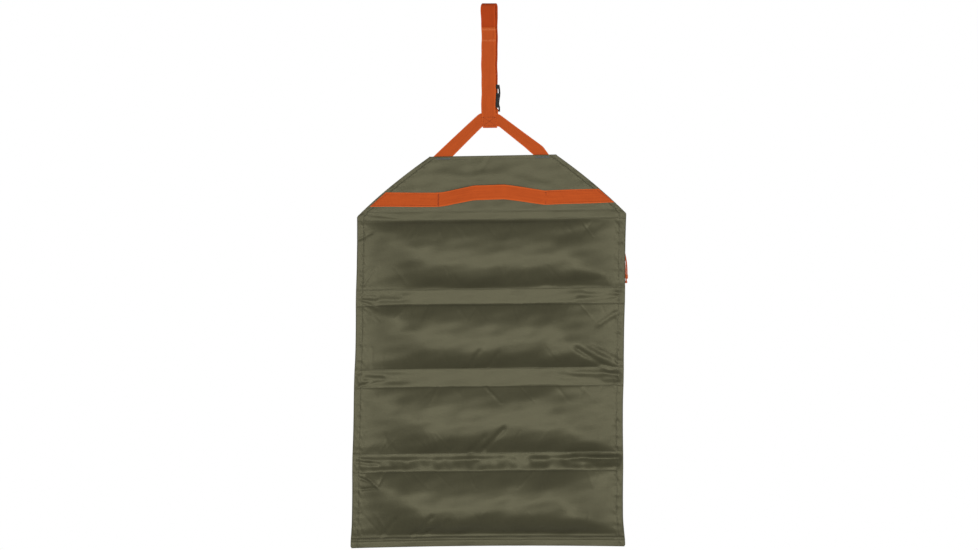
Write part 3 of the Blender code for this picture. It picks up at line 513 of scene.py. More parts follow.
def rolled_lines(stops, pitch, fine):
    """A panel's heights from its top to its foot, and how far the cloth is rolled over at each: not at
    all between them, and by a quarter turn in three steps past each."""
    inside = lines_down(stops, pitch, fine)
    heights = np.concatenate([[stops[0]] * len(ROLL), inside, [stops[-1]] * len(ROLL)])
    return heights, np.concatenate([ROLL[::-1], 0 * inside, -ROLL])


def panel_grid(z_lines, z_roll, pitch, radius):
    """Flat places of a panel's points. Inside the edge band a column keeps its distance from the edge,
    between the bands columns share the rest, and past it the edge rolls round by a quarter turn."""
    inner = np.linspace(-1, 1, round(2 * (HALF_WIDTH - EDGE_BAND) / pitch) + 1)
    band = np.linspace(EDGE_BAND, 0, round(EDGE_BAND / min(pitch, EDGE_PITCH)) + 1)[1:]
    z, roll_z = z_lines[:, None], z_roll[:, None]
    half = half_at(z) - radius
    middle = inner[None] * (half - EDGE_BAND)
    out = np.concatenate([half - band[None], half + radius * np.sin(ROLL)[None]], axis=1)
    x = np.concatenate([-out[:, ::-1], middle, out], axis=1)
    roll_x = np.concatenate([ROLL[::-1], np.zeros(len(inner) + 2 * len(band)), ROLL])[None]
    depth = radius * (1 - np.cos(roll_x) * np.cos(roll_z))
    return x, z + radius * np.sin(roll_z) + 0 * x, depth


STOPS = [FLAP_TOP - EDGE_ROUND]
for number, (high, low) in enumerate(ROWS):
    STOPS += [high + SEAM_REACH] * (number == 0) + [high - SEAM_REACH]
    STOPS += [low + SEAM_REACH, SPINE_MIDDLES[number]] if number < 3 else [BOTTOM + EDGE_ROUND]
FINE = [height + sign * SEAM_STITCH for row in ROWS for height, sign in zip(row, (-1, 1))]
FINE += HEM_STITCHES


def normals_of(points, outward):
    """Each grid point's normal, from the cross product of its steps down and across."""
    found = unit(np.cross(np.gradient(points, axis=1), np.gradient(points, axis=0)))
    return found * np.sign(found[..., 1:2].mean()) * outward


cloth_lines, cloth_roll = rolled_lines(STOPS, CLOTH_PITCH, FINE)
flat_x, flat_z, cloth_depth = panel_grid(cloth_lines, cloth_roll, CLOTH_PITCH, EDGE_ROUND)
cloth_front = hang(flat_x, CLOTH_Y + cloth_depth - cloth_height(flat_x, flat_z), flat_z)


def slab(front, back, flat):
    """A closed slab between a front and a back grid of points: both faces, and walls all round."""
    down, across = front.shape[:2]
    size = down * across
    quads, _, _ = square_grid(down, across)
    number = np.arange(size).reshape(down, across)
    rim = np.concatenate([number[0, :-1], number[:-1, -1], number[-1, :0:-1], number[:0:-1, 0]])
    after = np.roll(rim, -1)
    walls = np.stack([rim, rim + size, after + size, after], axis=-1)
    all_quads = np.concatenate([quads, quads[:, ::-1] + size, walls])
    places = np.tile(flat.reshape(-1, 2), (2, 1))
    return np.concatenate([front, back]).reshape(-1, 3), all_quads, places[all_quads], 0


def levelled(front, y):
    """A copy of a grid of points, all at one depth."""
    return np.stack([front[..., 0], 0 * front[..., 1] + y, front[..., 2]], axis=-1)


def noise(tree, place, scale, detail, **more):
    """The value of a Noise texture at a place, by its scale and its detail."""
    inputs = {"Vector": place, "Scale": scale, "Detail": detail, **more}
    return add(tree, "ShaderNodeTexNoise", inputs).outputs["Fac"]


def stretched(tree, place, by):
    """A place, each of its coordinates multiplied by its own number."""
    return add(tree, "ShaderNodeVectorMath", {0: place, 1: by}, operation="MULTIPLY").outputs[0]


def weighed(tree, *parts):
    """The sum of values, each multiplied by its weight."""
    weighted = [sums(tree, "MULTIPLY", value, weight) for value, weight in parts]
    total = weighted[0]
    for value in weighted[1:]:
        total = sums(tree, "ADD", total, value)
    return total


def crossed(tree, own, other, sway, level):
    """The height of one set of threads: humps over its own phase, each made higher or lower in turn over
    the other set's phase, by a sway about a level."""
    wave = sums(tree, "SINE", own)
    over = sums(tree, "MULTIPLY", sums(tree, "SIGN", wave), sums(tree, "COSINE", other))
    over = sums(tree, "ADD", sums(tree, "MULTIPLY", over, sway), level)
    return sums(tree, "MULTIPLY", sums(tree, "ABSOLUTE", wave), over)


def weave_group():
    """Masks of a plain weave on a piece's flat map in metres. Threads is the height of warp and weft, each
    a wave's hump over every other crossing; Slubs are streaks along both sets; Mottle is broad and soft."""
    group = bpy.data.node_groups.new("plain_weave", "ShaderNodeTree")
    group.interface.new_socket("Pitch", in_out="INPUT", socket_type="NodeSocketFloat")
    for name in ("Threads", "Slubs", "Mottle"):
        group.interface.new_socket(name, in_out="OUTPUT", socket_type="NodeSocketFloat")
    pitch = add(group, "NodeGroupInput").outputs["Pitch"]
    flat = add(group, "ShaderNodeUVMap", uv_map="flat").outputs[0]
    place = add(group, "ShaderNodeSeparateXYZ", {0: flat})
    across, down = (
        sums(group, "DIVIDE", sums(group, "MULTIPLY", place.outputs[k], np.pi), pitch) for k in (0, 1)
    )
    warp, weft = crossed(group, across, down, 0.5, 0.5), crossed(group, down, across, -0.5, 0.5)
    down_streaks = noise(group, stretched(group, flat, (35.0, 1300.0, 1.0)), 1.0, 2.0)
    across_streaks = noise(group, stretched(group, flat, (1300.0, 35.0, 1.0)), 1.0, 2.0)
    made = {
        "Threads": sums(group, "MAXIMUM", warp, weft),
        "Slubs": sums(group, "MULTIPLY", sums(group, "ADD", down_streaks, across_streaks), 0.5),
        "Mottle": noise(group, flat, 26.0, 4.0, Roughness=0.6),
    }
    add(group, "NodeGroupOutput", made)
    return group


WEAVE = weave_group()


def woven(name, dark, light, pitch, roughness, specular, sheen, depth, tint=(1.0, 1.0, 1.0)):
    """A woven cloth's finish: its colour runs from dark to light by slubs and mottle, and by thread height,
    which paints shade between the threads.
    """
    made, tree, shader = finish_of(name, light, roughness, specular, sheen, tint)
    weave = add(tree, "ShaderNodeGroup", {"Pitch": pitch}, node_tree=WEAVE)
    threads, slubs, mottle = (weave.outputs[mask] for mask in ("Threads", "Slubs", "Mottle"))
    # Slubs and mottle are the cloth's own tone; the thread height adds painted shade between the threads.
    uneven = sums(tree, "SUBTRACT", weighed(tree, (slubs, 1.3), (mottle, 0.9), (threads, 0.35)), 0.85)
    colour_between(tree, shader, uneven, dark, light)
    raise_by(tree, shader, weighed(tree, (threads, 1.0), (slubs, 0.8)), depth)
    return made


OLIVE_CLOTH = woven(
    "olive_cloth", (0.0305, 0.0288, 0.0166), (0.047, 0.0445, 0.0254), 0.00042, 0.405, 0.28, 0.0, 0.000025,
    tint=(1.0, 0.95, 0.62),
)


def object_place(tree):
    """Places on a piece as it lies in the object, in metres."""
    return add(tree, "ShaderNodeTexCoord").outputs["Object"]


def thread_finish(name, colour):
    """Twisted sewing thread: slanting waves on Object coordinates, with painted shade that makes it darker
    between the plies.
    """
    made, tree, shader = finish_of(name, colour, 0.6, 0.15)
    plies = {"Vector": object_place(tree), "Scale": 1400.0, "Distortion": 1.0}
    wave = add(tree, "ShaderNodeTexWave", plies, bands_direction="DIAGONAL").outputs["Fac"]
    # Painted shade: the waves darken the thread's colour between the plies.
    colour_between(tree, shader, wave, tuple(0.6 * part for part in colour), colour)
    return made


OLIVE_THREAD = thread_finish("olive_thread", (0.050, 0.047, 0.032))
STITCH_STEP = 0.0005
# A stitch's four rings: how far each lies from its middle as a share, how thick it is, and how far it
# stands off the cloth, both as shares of the thread's radius.
STITCH_RINGS = ((-1.0, 0.45, -0.7), (-0.55, 1.0, 0.3), (0.55, 1.0, 0.3), (1.0, 0.45, -0.7))


def stitches(place, x0, z0, x1, z1, finish, radius=THREAD_RADIUS, outward=-1):
    """One shell of many stitches, each a thread from one flat place to another: six-sided rings along it,
    full at its middle and sinking into the cloth at its ends. Place gives the surface's points."""
    a, b = place(x0, z0), place(x1, z1)
    x, z, step = (x0 + x1) / 2, (z0 + z1) / 2, STITCH_STEP
    across, upwards = place(x + step, z) - place(x - step, z), place(x, z - step) - place(x, z + step)
    up = unit(np.cross(across, upwards))
    up *= np.sign(up[:, 1:2]) * outward
    side = unit(np.cross(b - a, up))[:, None, None]
    up = up[:, None, None]
    share, size, lift = np.transpose(STITCH_RINGS)[:, :, None, None]
    turn = np.linspace(0, 2 * np.pi, 6, endpoint=False)[None, :, None]
    middle, half = ((a + b) / 2)[:, None, None], ((b - a) / 2)[:, None, None]
    ring = size * radius * (np.cos(turn) * side + np.sin(turn) * up)
    rings = middle + share * half + lift * radius * up + ring
    quads, _, _ = square_grid(4, 6, True)
    quads = np.concatenate([quads, [[3, 2, 1, 0], [5, 4, 3, 0], [18, 19, 20, 21], [18, 21, 22, 23]]])
    quads = (quads[None] + 24 * np.arange(len(a))[:, None, None]).reshape(-1, 4)
    return rings.reshape(-1, 3), quads, np.zeros((len(quads), 4, 2)), finish


def on_cloth(x, z):
    """The outer cloth's surface at flat places."""
    return hang(x, CLOTH_Y - cloth_height(x, z), z)


def runs_of(x0, z0, x1, z1):
    """Flat starts and ends of stitches, one stitch to a line."""
    return np.stack(np.broadcast_arrays(x0, z0, x1, z1), axis=-1)


def level_run(z):
    """One row of stitches straight across the cloth, from side stitching to side stitching."""
    half = float(half_at(z)) - SIDE_STITCH
    start = np.arange(-half, half - THREAD_LENGTH, THREAD_PITCH)
    return runs_of(start, z, start + THREAD_LENGTH, z)


def side_run(side):
    """The stitches down one side edge, the flap's slanting edge included."""
    top = np.arange(FLAP_TOP - EDGE_STITCH, BOTTOM + EDGE_STITCH, -THREAD_PITCH)
    low = top - THREAD_LENGTH
    return runs_of(side * (half_at(top) - SIDE_STITCH), top, side * (half_at(low) - SIDE_STITCH), low)


stitch_lines = [high - SEAM_STITCH for high, _ in ROWS] + [low + SEAM_STITCH for _, low in ROWS]
stitch_lines += [*HEM_STITCHES, FLAP_SEAM, FLAP_TOP - EDGE_STITCH]
cloth_stitches = [level_run(z) for z in stitch_lines] + [side_run(-1), side_run(1)]
cloth_stitches = np.concatenate(cloth_stitches)

# Each part of a panel from the top down, and the body it rides on or the two it lies between.
PANEL_PARTS = (
    ("flap", "flap"), ("seam_1", "flap", "row_1"), ("row_1", "row_1"),
    ("fold_12_upper", "row_1", "spine_12"), ("fold_12_lower", "spine_12", "row_2"), ("row_2", "row_2"),
    ("fold_23_upper", "row_2", "spine_23"), ("fold_23_lower", "spine_23", "row_3"), ("row_3", "row_3"),
    ("fold_34_upper", "row_3", "spine_34"), ("fold_34_lower", "spine_34", "row_4"), ("row_4", "row_4"),
)


def cut_panel(kind, lines_z, front, back_y, flat, place, finishes, outward):
    """Cuts a whole panel at the folds into pieces, each with its own stitches: a piece on one body is
    attached to it, and a piece between two bodies keeps its place with its transform baked in.
    """
    normals, made = normals_of(front, outward), {}
    for (name, *bodies), high, low in zip(PANEL_PARTS, STOPS, STOPS[1:]):
        lines = np.flatnonzero((lines_z <= high + 1e-7) & (lines_z >= low - 1e-7))
        cut = slice(lines[0], lines[-1] + 1)
        shells = [slab(front[cut], levelled(front[cut], back_y), flat[cut])]
        sewn = cloth_stitches[(cloth_stitches[:, 1] <= high) & (cloth_stitches[:, 1] > low)]
        if len(sewn):
            shells.append(stitches(place, *sewn.T, 1, outward=outward))
        part = piece(f"{name}_{kind}", shells, finishes, normals=normals[cut].reshape(-1, 3))
        if len(bodies) == 1:
            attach(part, bodies[0])
        else:
            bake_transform(part)
        made[name] = part
    return made


outer_parts = cut_panel(
    "cloth", cloth_lines, cloth_front, CLOTH_Y + EDGE_ROUND, np.stack([flat_x, flat_z], axis=-1),
    on_cloth, [OLIVE_CLOTH, OLIVE_THREAD], -1,
)
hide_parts("flap_outer_shell")
for number in (1, 2, 3, 4):
    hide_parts(f"row_{number}_outer_shell", f"row_{number}_padding")
for pair in ("12", "23", "34"):
    for side in ("upper", "lower"):
        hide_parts(f"spine_{pair}_outer")
for name, part in outer_parts.items():
    if name == "flap":
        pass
    elif name.startswith("fold"):
        low, high = part.bound_box[0][2], part.bound_box[6][2]


# The webbing: one kind of 25 mm orange polyester tape, ribbed along its length between two firm
# selvages. The strap, bridle, flap strip, handle and buckle tab are all cut from it.
WEB_WIDTH, WEB_THICK = 0.025, 0.0014
RIB_PITCH, PICK_PITCH = 0.00135, 0.0012
SELVAGE_FROM, SELVAGE_TO = 0.0100, 0.0112


def webbing_finish(name, low, high):
    """Ribs run along the tape, each a hump in U, and picks cross them, every other one raised in turn;
    two selvages at its edges are closer and lighter, and broad noise soils it a little."""
    made, tree, shader = finish_of(name, high, 0.72, 0.10, tint=(1.0, 0.45, 0.20))
    flat = add(tree, "ShaderNodeUVMap", uv_map="flat").outputs[0]
    across, along = list(add(tree, "ShaderNodeSeparateXYZ", {0: flat}).outputs)[:2]
    rib = sums(tree, "MULTIPLY", across, np.pi / RIB_PITCH)
    pick = sums(tree, "MULTIPLY", along, np.pi / PICK_PITCH)
    height = crossed(tree, rib, pick, 0.4, 0.6)
    from_middle = sums(tree, "ABSOLUTE", sums(tree, "SUBTRACT", across, WEB_WIDTH / 2))
    edge = {"Value": from_middle, "From Min": SELVAGE_FROM, "From Max": SELVAGE_TO}
    selvage = add(tree, "ShaderNodeMapRange", edge).outputs[0]
    streak = noise(tree, stretched(tree, flat, (500.0, 18.0, 1.0)), 1.0, 3.0)
    soil = noise(tree, flat, 55.0, 3.0)
    # Streaks, selvages and soil are the tape's own tone; the rib height adds painted shade between the ribs.
    mask = weighed(tree, (height, 0.45), (streak, 0.45), (selvage, 0.35), (soil, -0.25))
    colour_between(tree, shader, mask, low, high)
    raise_by(tree, shader, weighed(tree, (height, 1.0), (selvage, 0.5)), 0.00012)
    return made


ORANGE_WEBBING = webbing_finish("orange_webbing_weave", (0.330, 0.0535, 0.0122), (0.64, 0.114, 0.0222))
# A darker, redder copy of the same webbing for the hanging loop: painted shade, as the loop leans back out
# of the light.
SHADED_WEBBING = webbing_finish("painted_shade_orange_weave", (0.285, 0.036, 0.0078), (0.56, 0.074, 0.0140))
BRIGHT_THREAD = thread_finish("bright_orange_thread", (0.85, 0.30, 0.11))
BLUE_GREY_THREAD = thread_finish("blue_grey_thread", (0.115, 0.135, 0.145))


def tape_section(inner=9):
    """The tape's outline as shares of half its width and height: level between two rounded selvages."""
    bend = np.radians([72.0, 45.0, 18.0])
    round_width = WEB_THICK / WEB_WIDTH
    flat_half = 1 - round_width
    left = -flat_half - round_width * np.sin(bend)
    across = np.concatenate([left, np.linspace(-flat_half, flat_half, inner), -left[::-1]])
    high = np.concatenate([np.cos(bend), np.ones(inner), np.cos(bend)[::-1]])
    return np.concatenate([across, across[::-1]]), np.concatenate([high, -high[::-1]])


def tape(one_edge, other_edge, thick=WEB_THICK, swell=0.0):
    """A length of webbing between two edge lines of equal count: the section is carried from pair to pair
    of edge points, square to both ways. Swell waves its faces a little, as used webbing is."""
    across, high = tape_section()
    middle, half = (one_edge + other_edge) / 2, (other_edge - one_edge) / 2
    up = unit(np.cross(half, np.gradient(middle, axis=0)))
    distance = lengths_along(middle)
    loose = swell * waves(7, across[None] * WEB_WIDTH / 2, distance[:, None], 0.06, 0.02, 6)
    rise_by = high[None] * thick / 2 + loose
    points = middle[:, None] + across[None, :, None] * half[:, None] + rise_by[..., None] * up[:, None]
    count = len(across)
    quads, lines_of, columns_of = square_grid(len(middle), count, True)
    caps = end_caps(count, len(middle))
    width_at = (across + 1) / 2 * WEB_WIDTH
    places = np.stack([width_at[columns_of % count], distance[lines_of]], axis=-1)
    ends = np.stack([width_at[caps % count], np.zeros(caps.shape)], axis=-1)
    return points.reshape(-1, 3), np.concatenate([quads, caps]), np.concatenate([places, ends]), 0


def even_path(corners, step):
    """Points a step apart along straight runs between corners."""
    corners = np.array(corners, dtype=float)
    distance = lengths_along(corners)
    at = np.linspace(0, distance[-1], max(2, round(distance[-1] / step) + 1))
    return np.stack([np.interp(at, distance, ways) for ways in corners.T], axis=-1)


def arc(middle, radius, first, last, count):
    """Points on part of a circle, from one angle in degrees to another."""
    turn = np.radians(np.linspace(first, last, count))
    return [(middle[0] + radius * math.cos(a), middle[1] + radius * math.sin(a)) for a in turn]


def rounded(path, times):
    """A path whose corners are eased by averaging each inner point with its neighbours."""
    path = path.copy()
    for _ in range(times):
        path[1:-1] = path[1:-1] / 2 + (path[:-2] + path[2:]) / 4
    return path


def sewn_run(start, end, pitch=0.0031, length=0.0024):
    """Starts and ends of the stitches on one straight line between two flat places."""
    start, end = np.array(start), np.array(end)
    run = np.linalg.norm(end - start)
    at = np.arange(0, run - 0.5 * length, pitch)[:, None] / run
    head = start + at * (end - start)
    return np.concatenate([head, head + (length / run) * (end - start)], axis=1)


# The hanging strap's front run: from its cut end at the top, where the loop is sewn on behind it,
# down to the junction, round under the bridle and up behind it. Two boxes of stitching hold it.
STRAP_FACE, STRAP_TOP, STRAP_FOOT, STRAP_END = -0.00845, -0.0413, -0.2148, -0.1978
TURN_RADIUS, TURN_ABOVE, BACK_WAVE = 0.0017, -0.209, 0.00012
STRAP_STITCH, STRAP_THREAD, SEWN_HALF, BOX_HALF = (0.0024, 0.0021), 0.00033, 0.0115, 0.0107
LOOP_ROWS, JUNCTION_BOX = (-0.0447, -0.0463, -0.0640, -0.0656), (-0.1985, -0.2130)
strap_back = STRAP_FACE + 2 * TURN_RADIUS
strap_profile = [(STRAP_FACE, STRAP_TOP), (STRAP_FACE, STRAP_FOOT)]
strap_profile += arc((STRAP_FACE + TURN_RADIUS, STRAP_FOOT), TURN_RADIUS, 210, 330, 5)
strap_profile += [(strap_back, STRAP_FOOT), (strap_back, STRAP_END)]
strap_line = even_path(strap_profile, 0.0022)
above_turn = strap_line[:, 1] > TURN_ABOVE
strap_line[above_turn, 0] += BACK_WAVE * np.sin(strap_line[above_turn, 1] * 210.0)


def strap_edges(line, shift=0.0):
    """The two edges of a strap whose middle line runs in depth and height, each wandering a little."""
    y, z = line.T
    wander = 0.0003 * np.sin(z * 75.0) + 0.0002 * np.sin(z * 190.0)
    return [hang(shift + wander + side * WEB_WIDTH / 2, y, z) for side in (-1, 1)]


def on_strap(x, z):
    """The front run's face."""
    return hang(x, STRAP_FACE - WEB_THICK / 2, z)


def box_stitches(left, right, high, low, crossed_over):
    """A box of stitches, with a cross between its corners where asked."""
    corners = [(left, high), (right, high), (right, low), (left, low)]
    runs = [sewn_run(a, b) for a, b in zip(corners, corners[1:] + corners[:1])]
    if crossed_over:
        runs += [sewn_run(corners[0], corners[2]), sewn_run(corners[1], corners[3])]
    return np.concatenate(runs)


strap_sewing = np.concatenate([
    sewn_run((-SEWN_HALF, z), (SEWN_HALF, z), *STRAP_STITCH) for z in LOOP_ROWS
])
junction_sewing = box_stitches(-BOX_HALF, BOX_HALF, *JUNCTION_BOX, True)
# A darker copy of the bright orange thread: painted shade for stitches sunk between layers of webbing, at
# the junction and along the flap strip.
SHADED_ORANGE_THREAD = thread_finish("painted_shade_orange_thread", (0.24, 0.038, 0.012))
strap_front = piece(
    "strap_front",
    [
        tape(*strap_edges(strap_line), swell=0.00010),
        stitches(on_strap, *strap_sewing.T, 1, STRAP_THREAD),
        # Painted shade: the junction's box is sewn in the darker copy of the thread.
        stitches(on_strap, *junction_sewing.T, 2, STRAP_THREAD),
    ],
    [ORANGE_WEBBING, BRIGHT_THREAD, SHADED_ORANGE_THREAD],
    sharp=50,
)
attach(strap_front, "hanging_strap")
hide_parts("strap_front_run")


# The strap's upper length: sewn behind the front run, over the top as the hanging loop, and down
# behind through the buckle's upper half to a free end.
LOOP_BEND, LOOP_MIDDLE, LOOP_SIDES = 0.00675, -0.00605, -0.0070
LOOP_START, TAIL_END, TAIL_SHIFT, TAIL_CURL = -0.066, -0.186, 0.0035, 0.0004
loop_profile = [(-LOOP_BEND, LOOP_START), (-LOOP_BEND, LOOP_SIDES)]
loop_profile += arc((0.0, LOOP_MIDDLE), LOOP_BEND, 180, 0, 15)
loop_profile += [(LOOP_BEND, LOOP_SIDES), (LOOP_BEND, TAIL_END)]
loop_line = even_path(loop_profile, 0.0018)
loop_share = (loop_line[:, 0] + LOOP_BEND) / (2 * LOOP_BEND)
hang_over = bell(loop_line[:, 1] + 0.012, 0.016)
loop_shift = TAIL_SHIFT * loop_share - 0.0011 * hang_over * (1 - 1.6 * loop_share)
free_end = np.clip((-0.150 - loop_line[:, 1]) / 0.036, 0, 1) * (loop_share > 0.9)
loop_line[:, 0] += TAIL_CURL * free_end**2
loop_sewing = sewn_run((-0.0105, -0.1835), (0.0105, -0.1835), *STRAP_STITCH)


def on_tail(x, z):
    """The back face of the strap's free end."""
    return hang(x + TAIL_SHIFT, LOOP_BEND + WEB_THICK / 2 + 0.9 * TAIL_CURL, z)


strap_over = piece(
    "strap_over",
    [
        tape(*strap_edges(loop_line, loop_shift), swell=0.00008),
        stitches(on_tail, *loop_sewing.T, 1, STRAP_THREAD, 1),
    ],
    # The loop's webbing is the darker copy: painted shade for its lean away from the light.
    [SHADED_WEBBING, BRIGHT_THREAD],
    sharp=50,
)
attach(strap_over, "hanging_strap")
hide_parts("strap_loop")


# The bridle: one length of webbing with two slanting legs. Its middle is pinched level inside the
# strap's turned end, and its ends are sewn down behind the flap's top edge with blue-grey bars.
BRIDLE_Y, LEG_TOP, BRIDLE_FOOT, LEG_SLOPE = -0.00675, -0.193, -0.2805, 0.0885 / 0.0723
BRIDLE_DRAPE, BAR_X = 0.0004, 0.0864
LEFT_FOOT_X = (BRIDLE_FOOT - LEG_TOP) * LEG_SLOPE
bridle_outer = [
    (LEFT_FOOT_X - 0.0148, BRIDLE_FOOT), (-0.0185, -0.1940), (-0.0135, -0.1912), (0.0140, -0.1912),
    (0.0205, -0.1945), (0.0892, -0.2507), (0.1070, BRIDLE_FOOT),
]
bridle_inner = [
    (LEFT_FOOT_X + 0.0206, BRIDLE_FOOT), (-0.0135, -0.2153), (-0.0115, -0.2147), (0.0140, -0.2147),
    (0.0165, -0.2153), (0.0560, -0.2507), (0.0857, BRIDLE_FOOT),
]


def bridle_edge(corners):
    """One edge of the bridle with as many points on each straight run as the other edge has."""
    counts = (48, 6, 12, 6, 34, 18)
    parts = [np.linspace(a, b, n, endpoint=False) for a, b, n in zip(corners, corners[1:], counts)]
    x, z = rounded(np.concatenate(parts + [[corners[-1]]]), 3).T
    return hang(x, BRIDLE_Y - BRIDLE_DRAPE * bell(np.abs(x) - 0.045, 0.02), z)


bridle_tape = tape(bridle_edge(bridle_outer), bridle_edge(bridle_inner), swell=0.00012)
bridle = piece("bridle", [bridle_tape], [ORANGE_WEBBING], sharp=50)
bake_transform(bridle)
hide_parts("bridle_webbing", "bridle_foot_left", "bridle_foot_right")


def bar_tack(x, z, wide, tall, count):
    """A bar tack: close upright stitches side by side, each a little askew."""
    at = np.linspace(x - wide / 2, x + wide / 2, count)
    skew = 0.0004 * (-1.0) ** np.arange(count)
    return runs_of(at - skew, z + tall / 2, at + skew, z - tall / 2)


foot_tacks = np.concatenate([bar_tack(side * BAR_X, -0.2696, 0.023, 0.0026, 44) for side in (-1, 1)])
foot_bars = piece(
    "bridle_foot_bars", [stitches(on_cloth, *foot_tacks.T, 0, 0.00036)], [BLUE_GREY_THREAD], sharp=60
)
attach(foot_bars, "flap")


# The strip across the flap: one more length of webbing, cut off along the flap's slanting edges. It
# is sewn flat at each side, and its middle is left free and bows out as the carry handle.
HANDLE_HALF, STRIP_LOW, STRIP_HIGH = 0.0925, -0.354, -0.329
STAND_OFF, HANDLE_RISE, STRIP_Y = 0.014, 0.0108, -0.01065
STRIP_STITCH, TACK_AT = 0.0022, 0.0935
# The handle's bends by the way across, and how far each stands out, as a share.
BOW_BENDS = (
    (-HANDLE_HALF, 0.0), (-0.083, 0.07), (-0.031, 0.97), (0.022, 1.0), (0.0505, 0.66), (HANDLE_HALF, 0.0),
)
strip_share = np.linspace(-1, 1, 290)
bow_x = np.linspace(-HANDLE_HALF, HANDLE_HALF, 186)
bow_line = rounded(np.interp(bow_x, *np.transpose(BOW_BENDS)), 22)


def bow_at(x):
    """The handle's bow as a share: straight runs that carrying has bent into it, eased where they meet."""
    return np.interp(x, bow_x, bow_line, 0.0, 0.0)


def strip_lift(x):
    """How much higher than level the strip was sewn: a little at its left end, more at its right."""
    return np.interp(x, [-0.22, -0.10, 0.05, 0.22], [0.0018, 0.0, 0.0004, 0.0042])


def strip_reach(side, z):
    """How far an end of the strip runs out at its sewn height: all but to the flap's edge."""
    short = 0.0016 if side > 0 else 0.0046
    return float(half_at(z + strip_lift(side * 0.2))) - short


def strip_edge(z, lift):
    """One edge of the strip at its sewn height, bowed out and up along the handle."""
    x = strip_share * np.where(strip_share < 0, strip_reach(-1, z), strip_reach(1, z))
    bow = bow_at(x)
    lying = np.where(np.abs(x) < HANDLE_HALF, 0, cloth_height(x, 0 * x + z))
    edge = hang(x, STRIP_Y - lying - STAND_OFF * bow, z)
    edge[:, 2] += (HANDLE_RISE + lift) * bow + 0.0002 * np.sin(x * 61.0) + strip_lift(x)
    return edge


def on_strip(x, z):
    """The strip's face where it lies on the flap."""
    return hang(x, STRIP_Y - WEB_THICK / 2 - 0.0001, z + strip_lift(x))


strip_sewing = []
for side in (-1, 1):
    strip_sewing += [
        bar_tack(side * TACK_AT, z, 0.0016, 0.0030, 3) for z in np.arange(-0.3515, -0.3305, 0.0027)
    ]
for side in (-1, 1):
    for z in (STRIP_LOW + STRIP_STITCH, STRIP_HIGH - STRIP_STITCH):
        out = side * (strip_reach(side, z) - 0.003)
        strip_sewing.append(sewn_run((side * (TACK_AT + 0.003), z), (out, z)))
    low_end, high_end = (side * (strip_reach(side, z) - 0.0035) for z in (STRIP_LOW, STRIP_HIGH))
    ends = (low_end, STRIP_LOW + STRIP_STITCH), (high_end, STRIP_HIGH - STRIP_STITCH)
    strip_sewing.append(sewn_run(*ends))
strip_sewing = np.concatenate(strip_sewing)
flap_strip = piece(
    "flap_strip_and_handle",
    [
        tape(strip_edge(STRIP_LOW, 0.0), strip_edge(STRIP_HIGH, 0.0007)),
        stitches(on_strip, *strip_sewing.T, 1, 0.00030),
    ],
    [ORANGE_WEBBING, SHADED_ORANGE_THREAD],
    sharp=50,
)
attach(flap_strip, "flap")
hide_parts("webbing_strip_left", "webbing_strip_right", "carry_handle")


# The lining: one thin grey cloth over the whole inside, sewn to the outer cloth round its edges and
# along every fold, so that it lies nearly flat behind the pockets.
LINING_Y, LINING_BACK = -0.00775, -0.00835
LINING_ROUND, LINING_PITCH = 0.0004, 0.0032
GREY_LINING = woven(
    "grey_lining", (0.105, 0.105, 0.098), (0.185, 0.183, 0.170), 0.00036, 0.72, 0.30, 0.1, 0.00003
)
GREY_THREAD = thread_finish("grey_thread", (0.12, 0.12, 0.11))


def lining_height(x, z):
    """How far the lining dips from its flat face: soft waves, and a groove at every row of stitches."""
    side = half_at(z) - np.abs(x)
    dip = -0.00022 * (0.6 + 0.6 * waves(83, x, z, 0.09, 0.02)) * smooth(side / 0.008)
    for high, low in ROWS:
        dip = dip + 0.5 * stitch_groove(z - high + SEAM_STITCH) + 0.5 * stitch_groove(z - low - SEAM_STITCH)
    return dip + 0.5 * stitch_groove(side - SIDE_STITCH)


def on_lining(x, z):
    """The lining's surface at flat places."""
    return hang(x, LINING_Y + lining_height(x, z), z)


lining_stops = [FLAP_TOP - LINING_ROUND] + STOPS[1:-1] + [BOTTOM + LINING_ROUND]
lining_lines, lining_roll = rolled_lines(lining_stops, LINING_PITCH, FINE[::2])
lining_x, lining_z, lining_depth = panel_grid(lining_lines, lining_roll, LINING_PITCH, LINING_ROUND)
lining_face = hang(lining_x, LINING_Y - lining_depth + lining_height(lining_x, lining_z), lining_z)
lining_parts = cut_panel(
    "inner_lining", lining_lines, lining_face, LINING_BACK, np.stack([lining_x, lining_z], axis=-1),
    on_lining, [GREY_LINING, GREY_THREAD], 1,
)
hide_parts("flap_lining")
for number, (high, low) in enumerate(ROWS, 1):
    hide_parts(f"row_{number}_lining")
for pair in ("12", "23", "34"):
    for side in ("upper", "lower"):
        part = lining_parts[f"fold_{pair}_{side}"]
        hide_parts(f"spine_{pair}_lining")


# The open pockets of rows 2 to 4: one olive cloth across each row, sewn down at its foot, its sides
# and its dividers, and slack between them. Black tape binds the open mouths.
POCKET_HALF, POCKET_CLOTH, POCKET_STAND, POCKET_LIE = 0.224, 0.0008, 0.0062, 0.0013
MOUTH_DROP, FOOT_GAP, DIVIDER_CLOSE = 0.017, 0.002, 0.0008
TAPE_HEIGHT, TAPE_OVER, TAPE_PROUD, MOUTH_STITCH = 0.012, 0.00115, 0.0007, 0.0102
SLOT_COUNTS = ((2, 7), (3, 4), (4, 3))
POCKET_OLIVE = woven(
    "olive_pocket_cloth", (0.046, 0.043, 0.030), (0.086, 0.081, 0.055), 0.00042, 0.60, 0.40, 0.05, 0.00004
)
BINDING = woven(
    "black_binding_tape", (0.008, 0.008, 0.009), (0.030, 0.030, 0.031), 0.0006, 0.7, 0.3, 0.2, 0.00007
)
BLACK_THREAD = thread_finish("black_thread", (0.016, 0.016, 0.017))


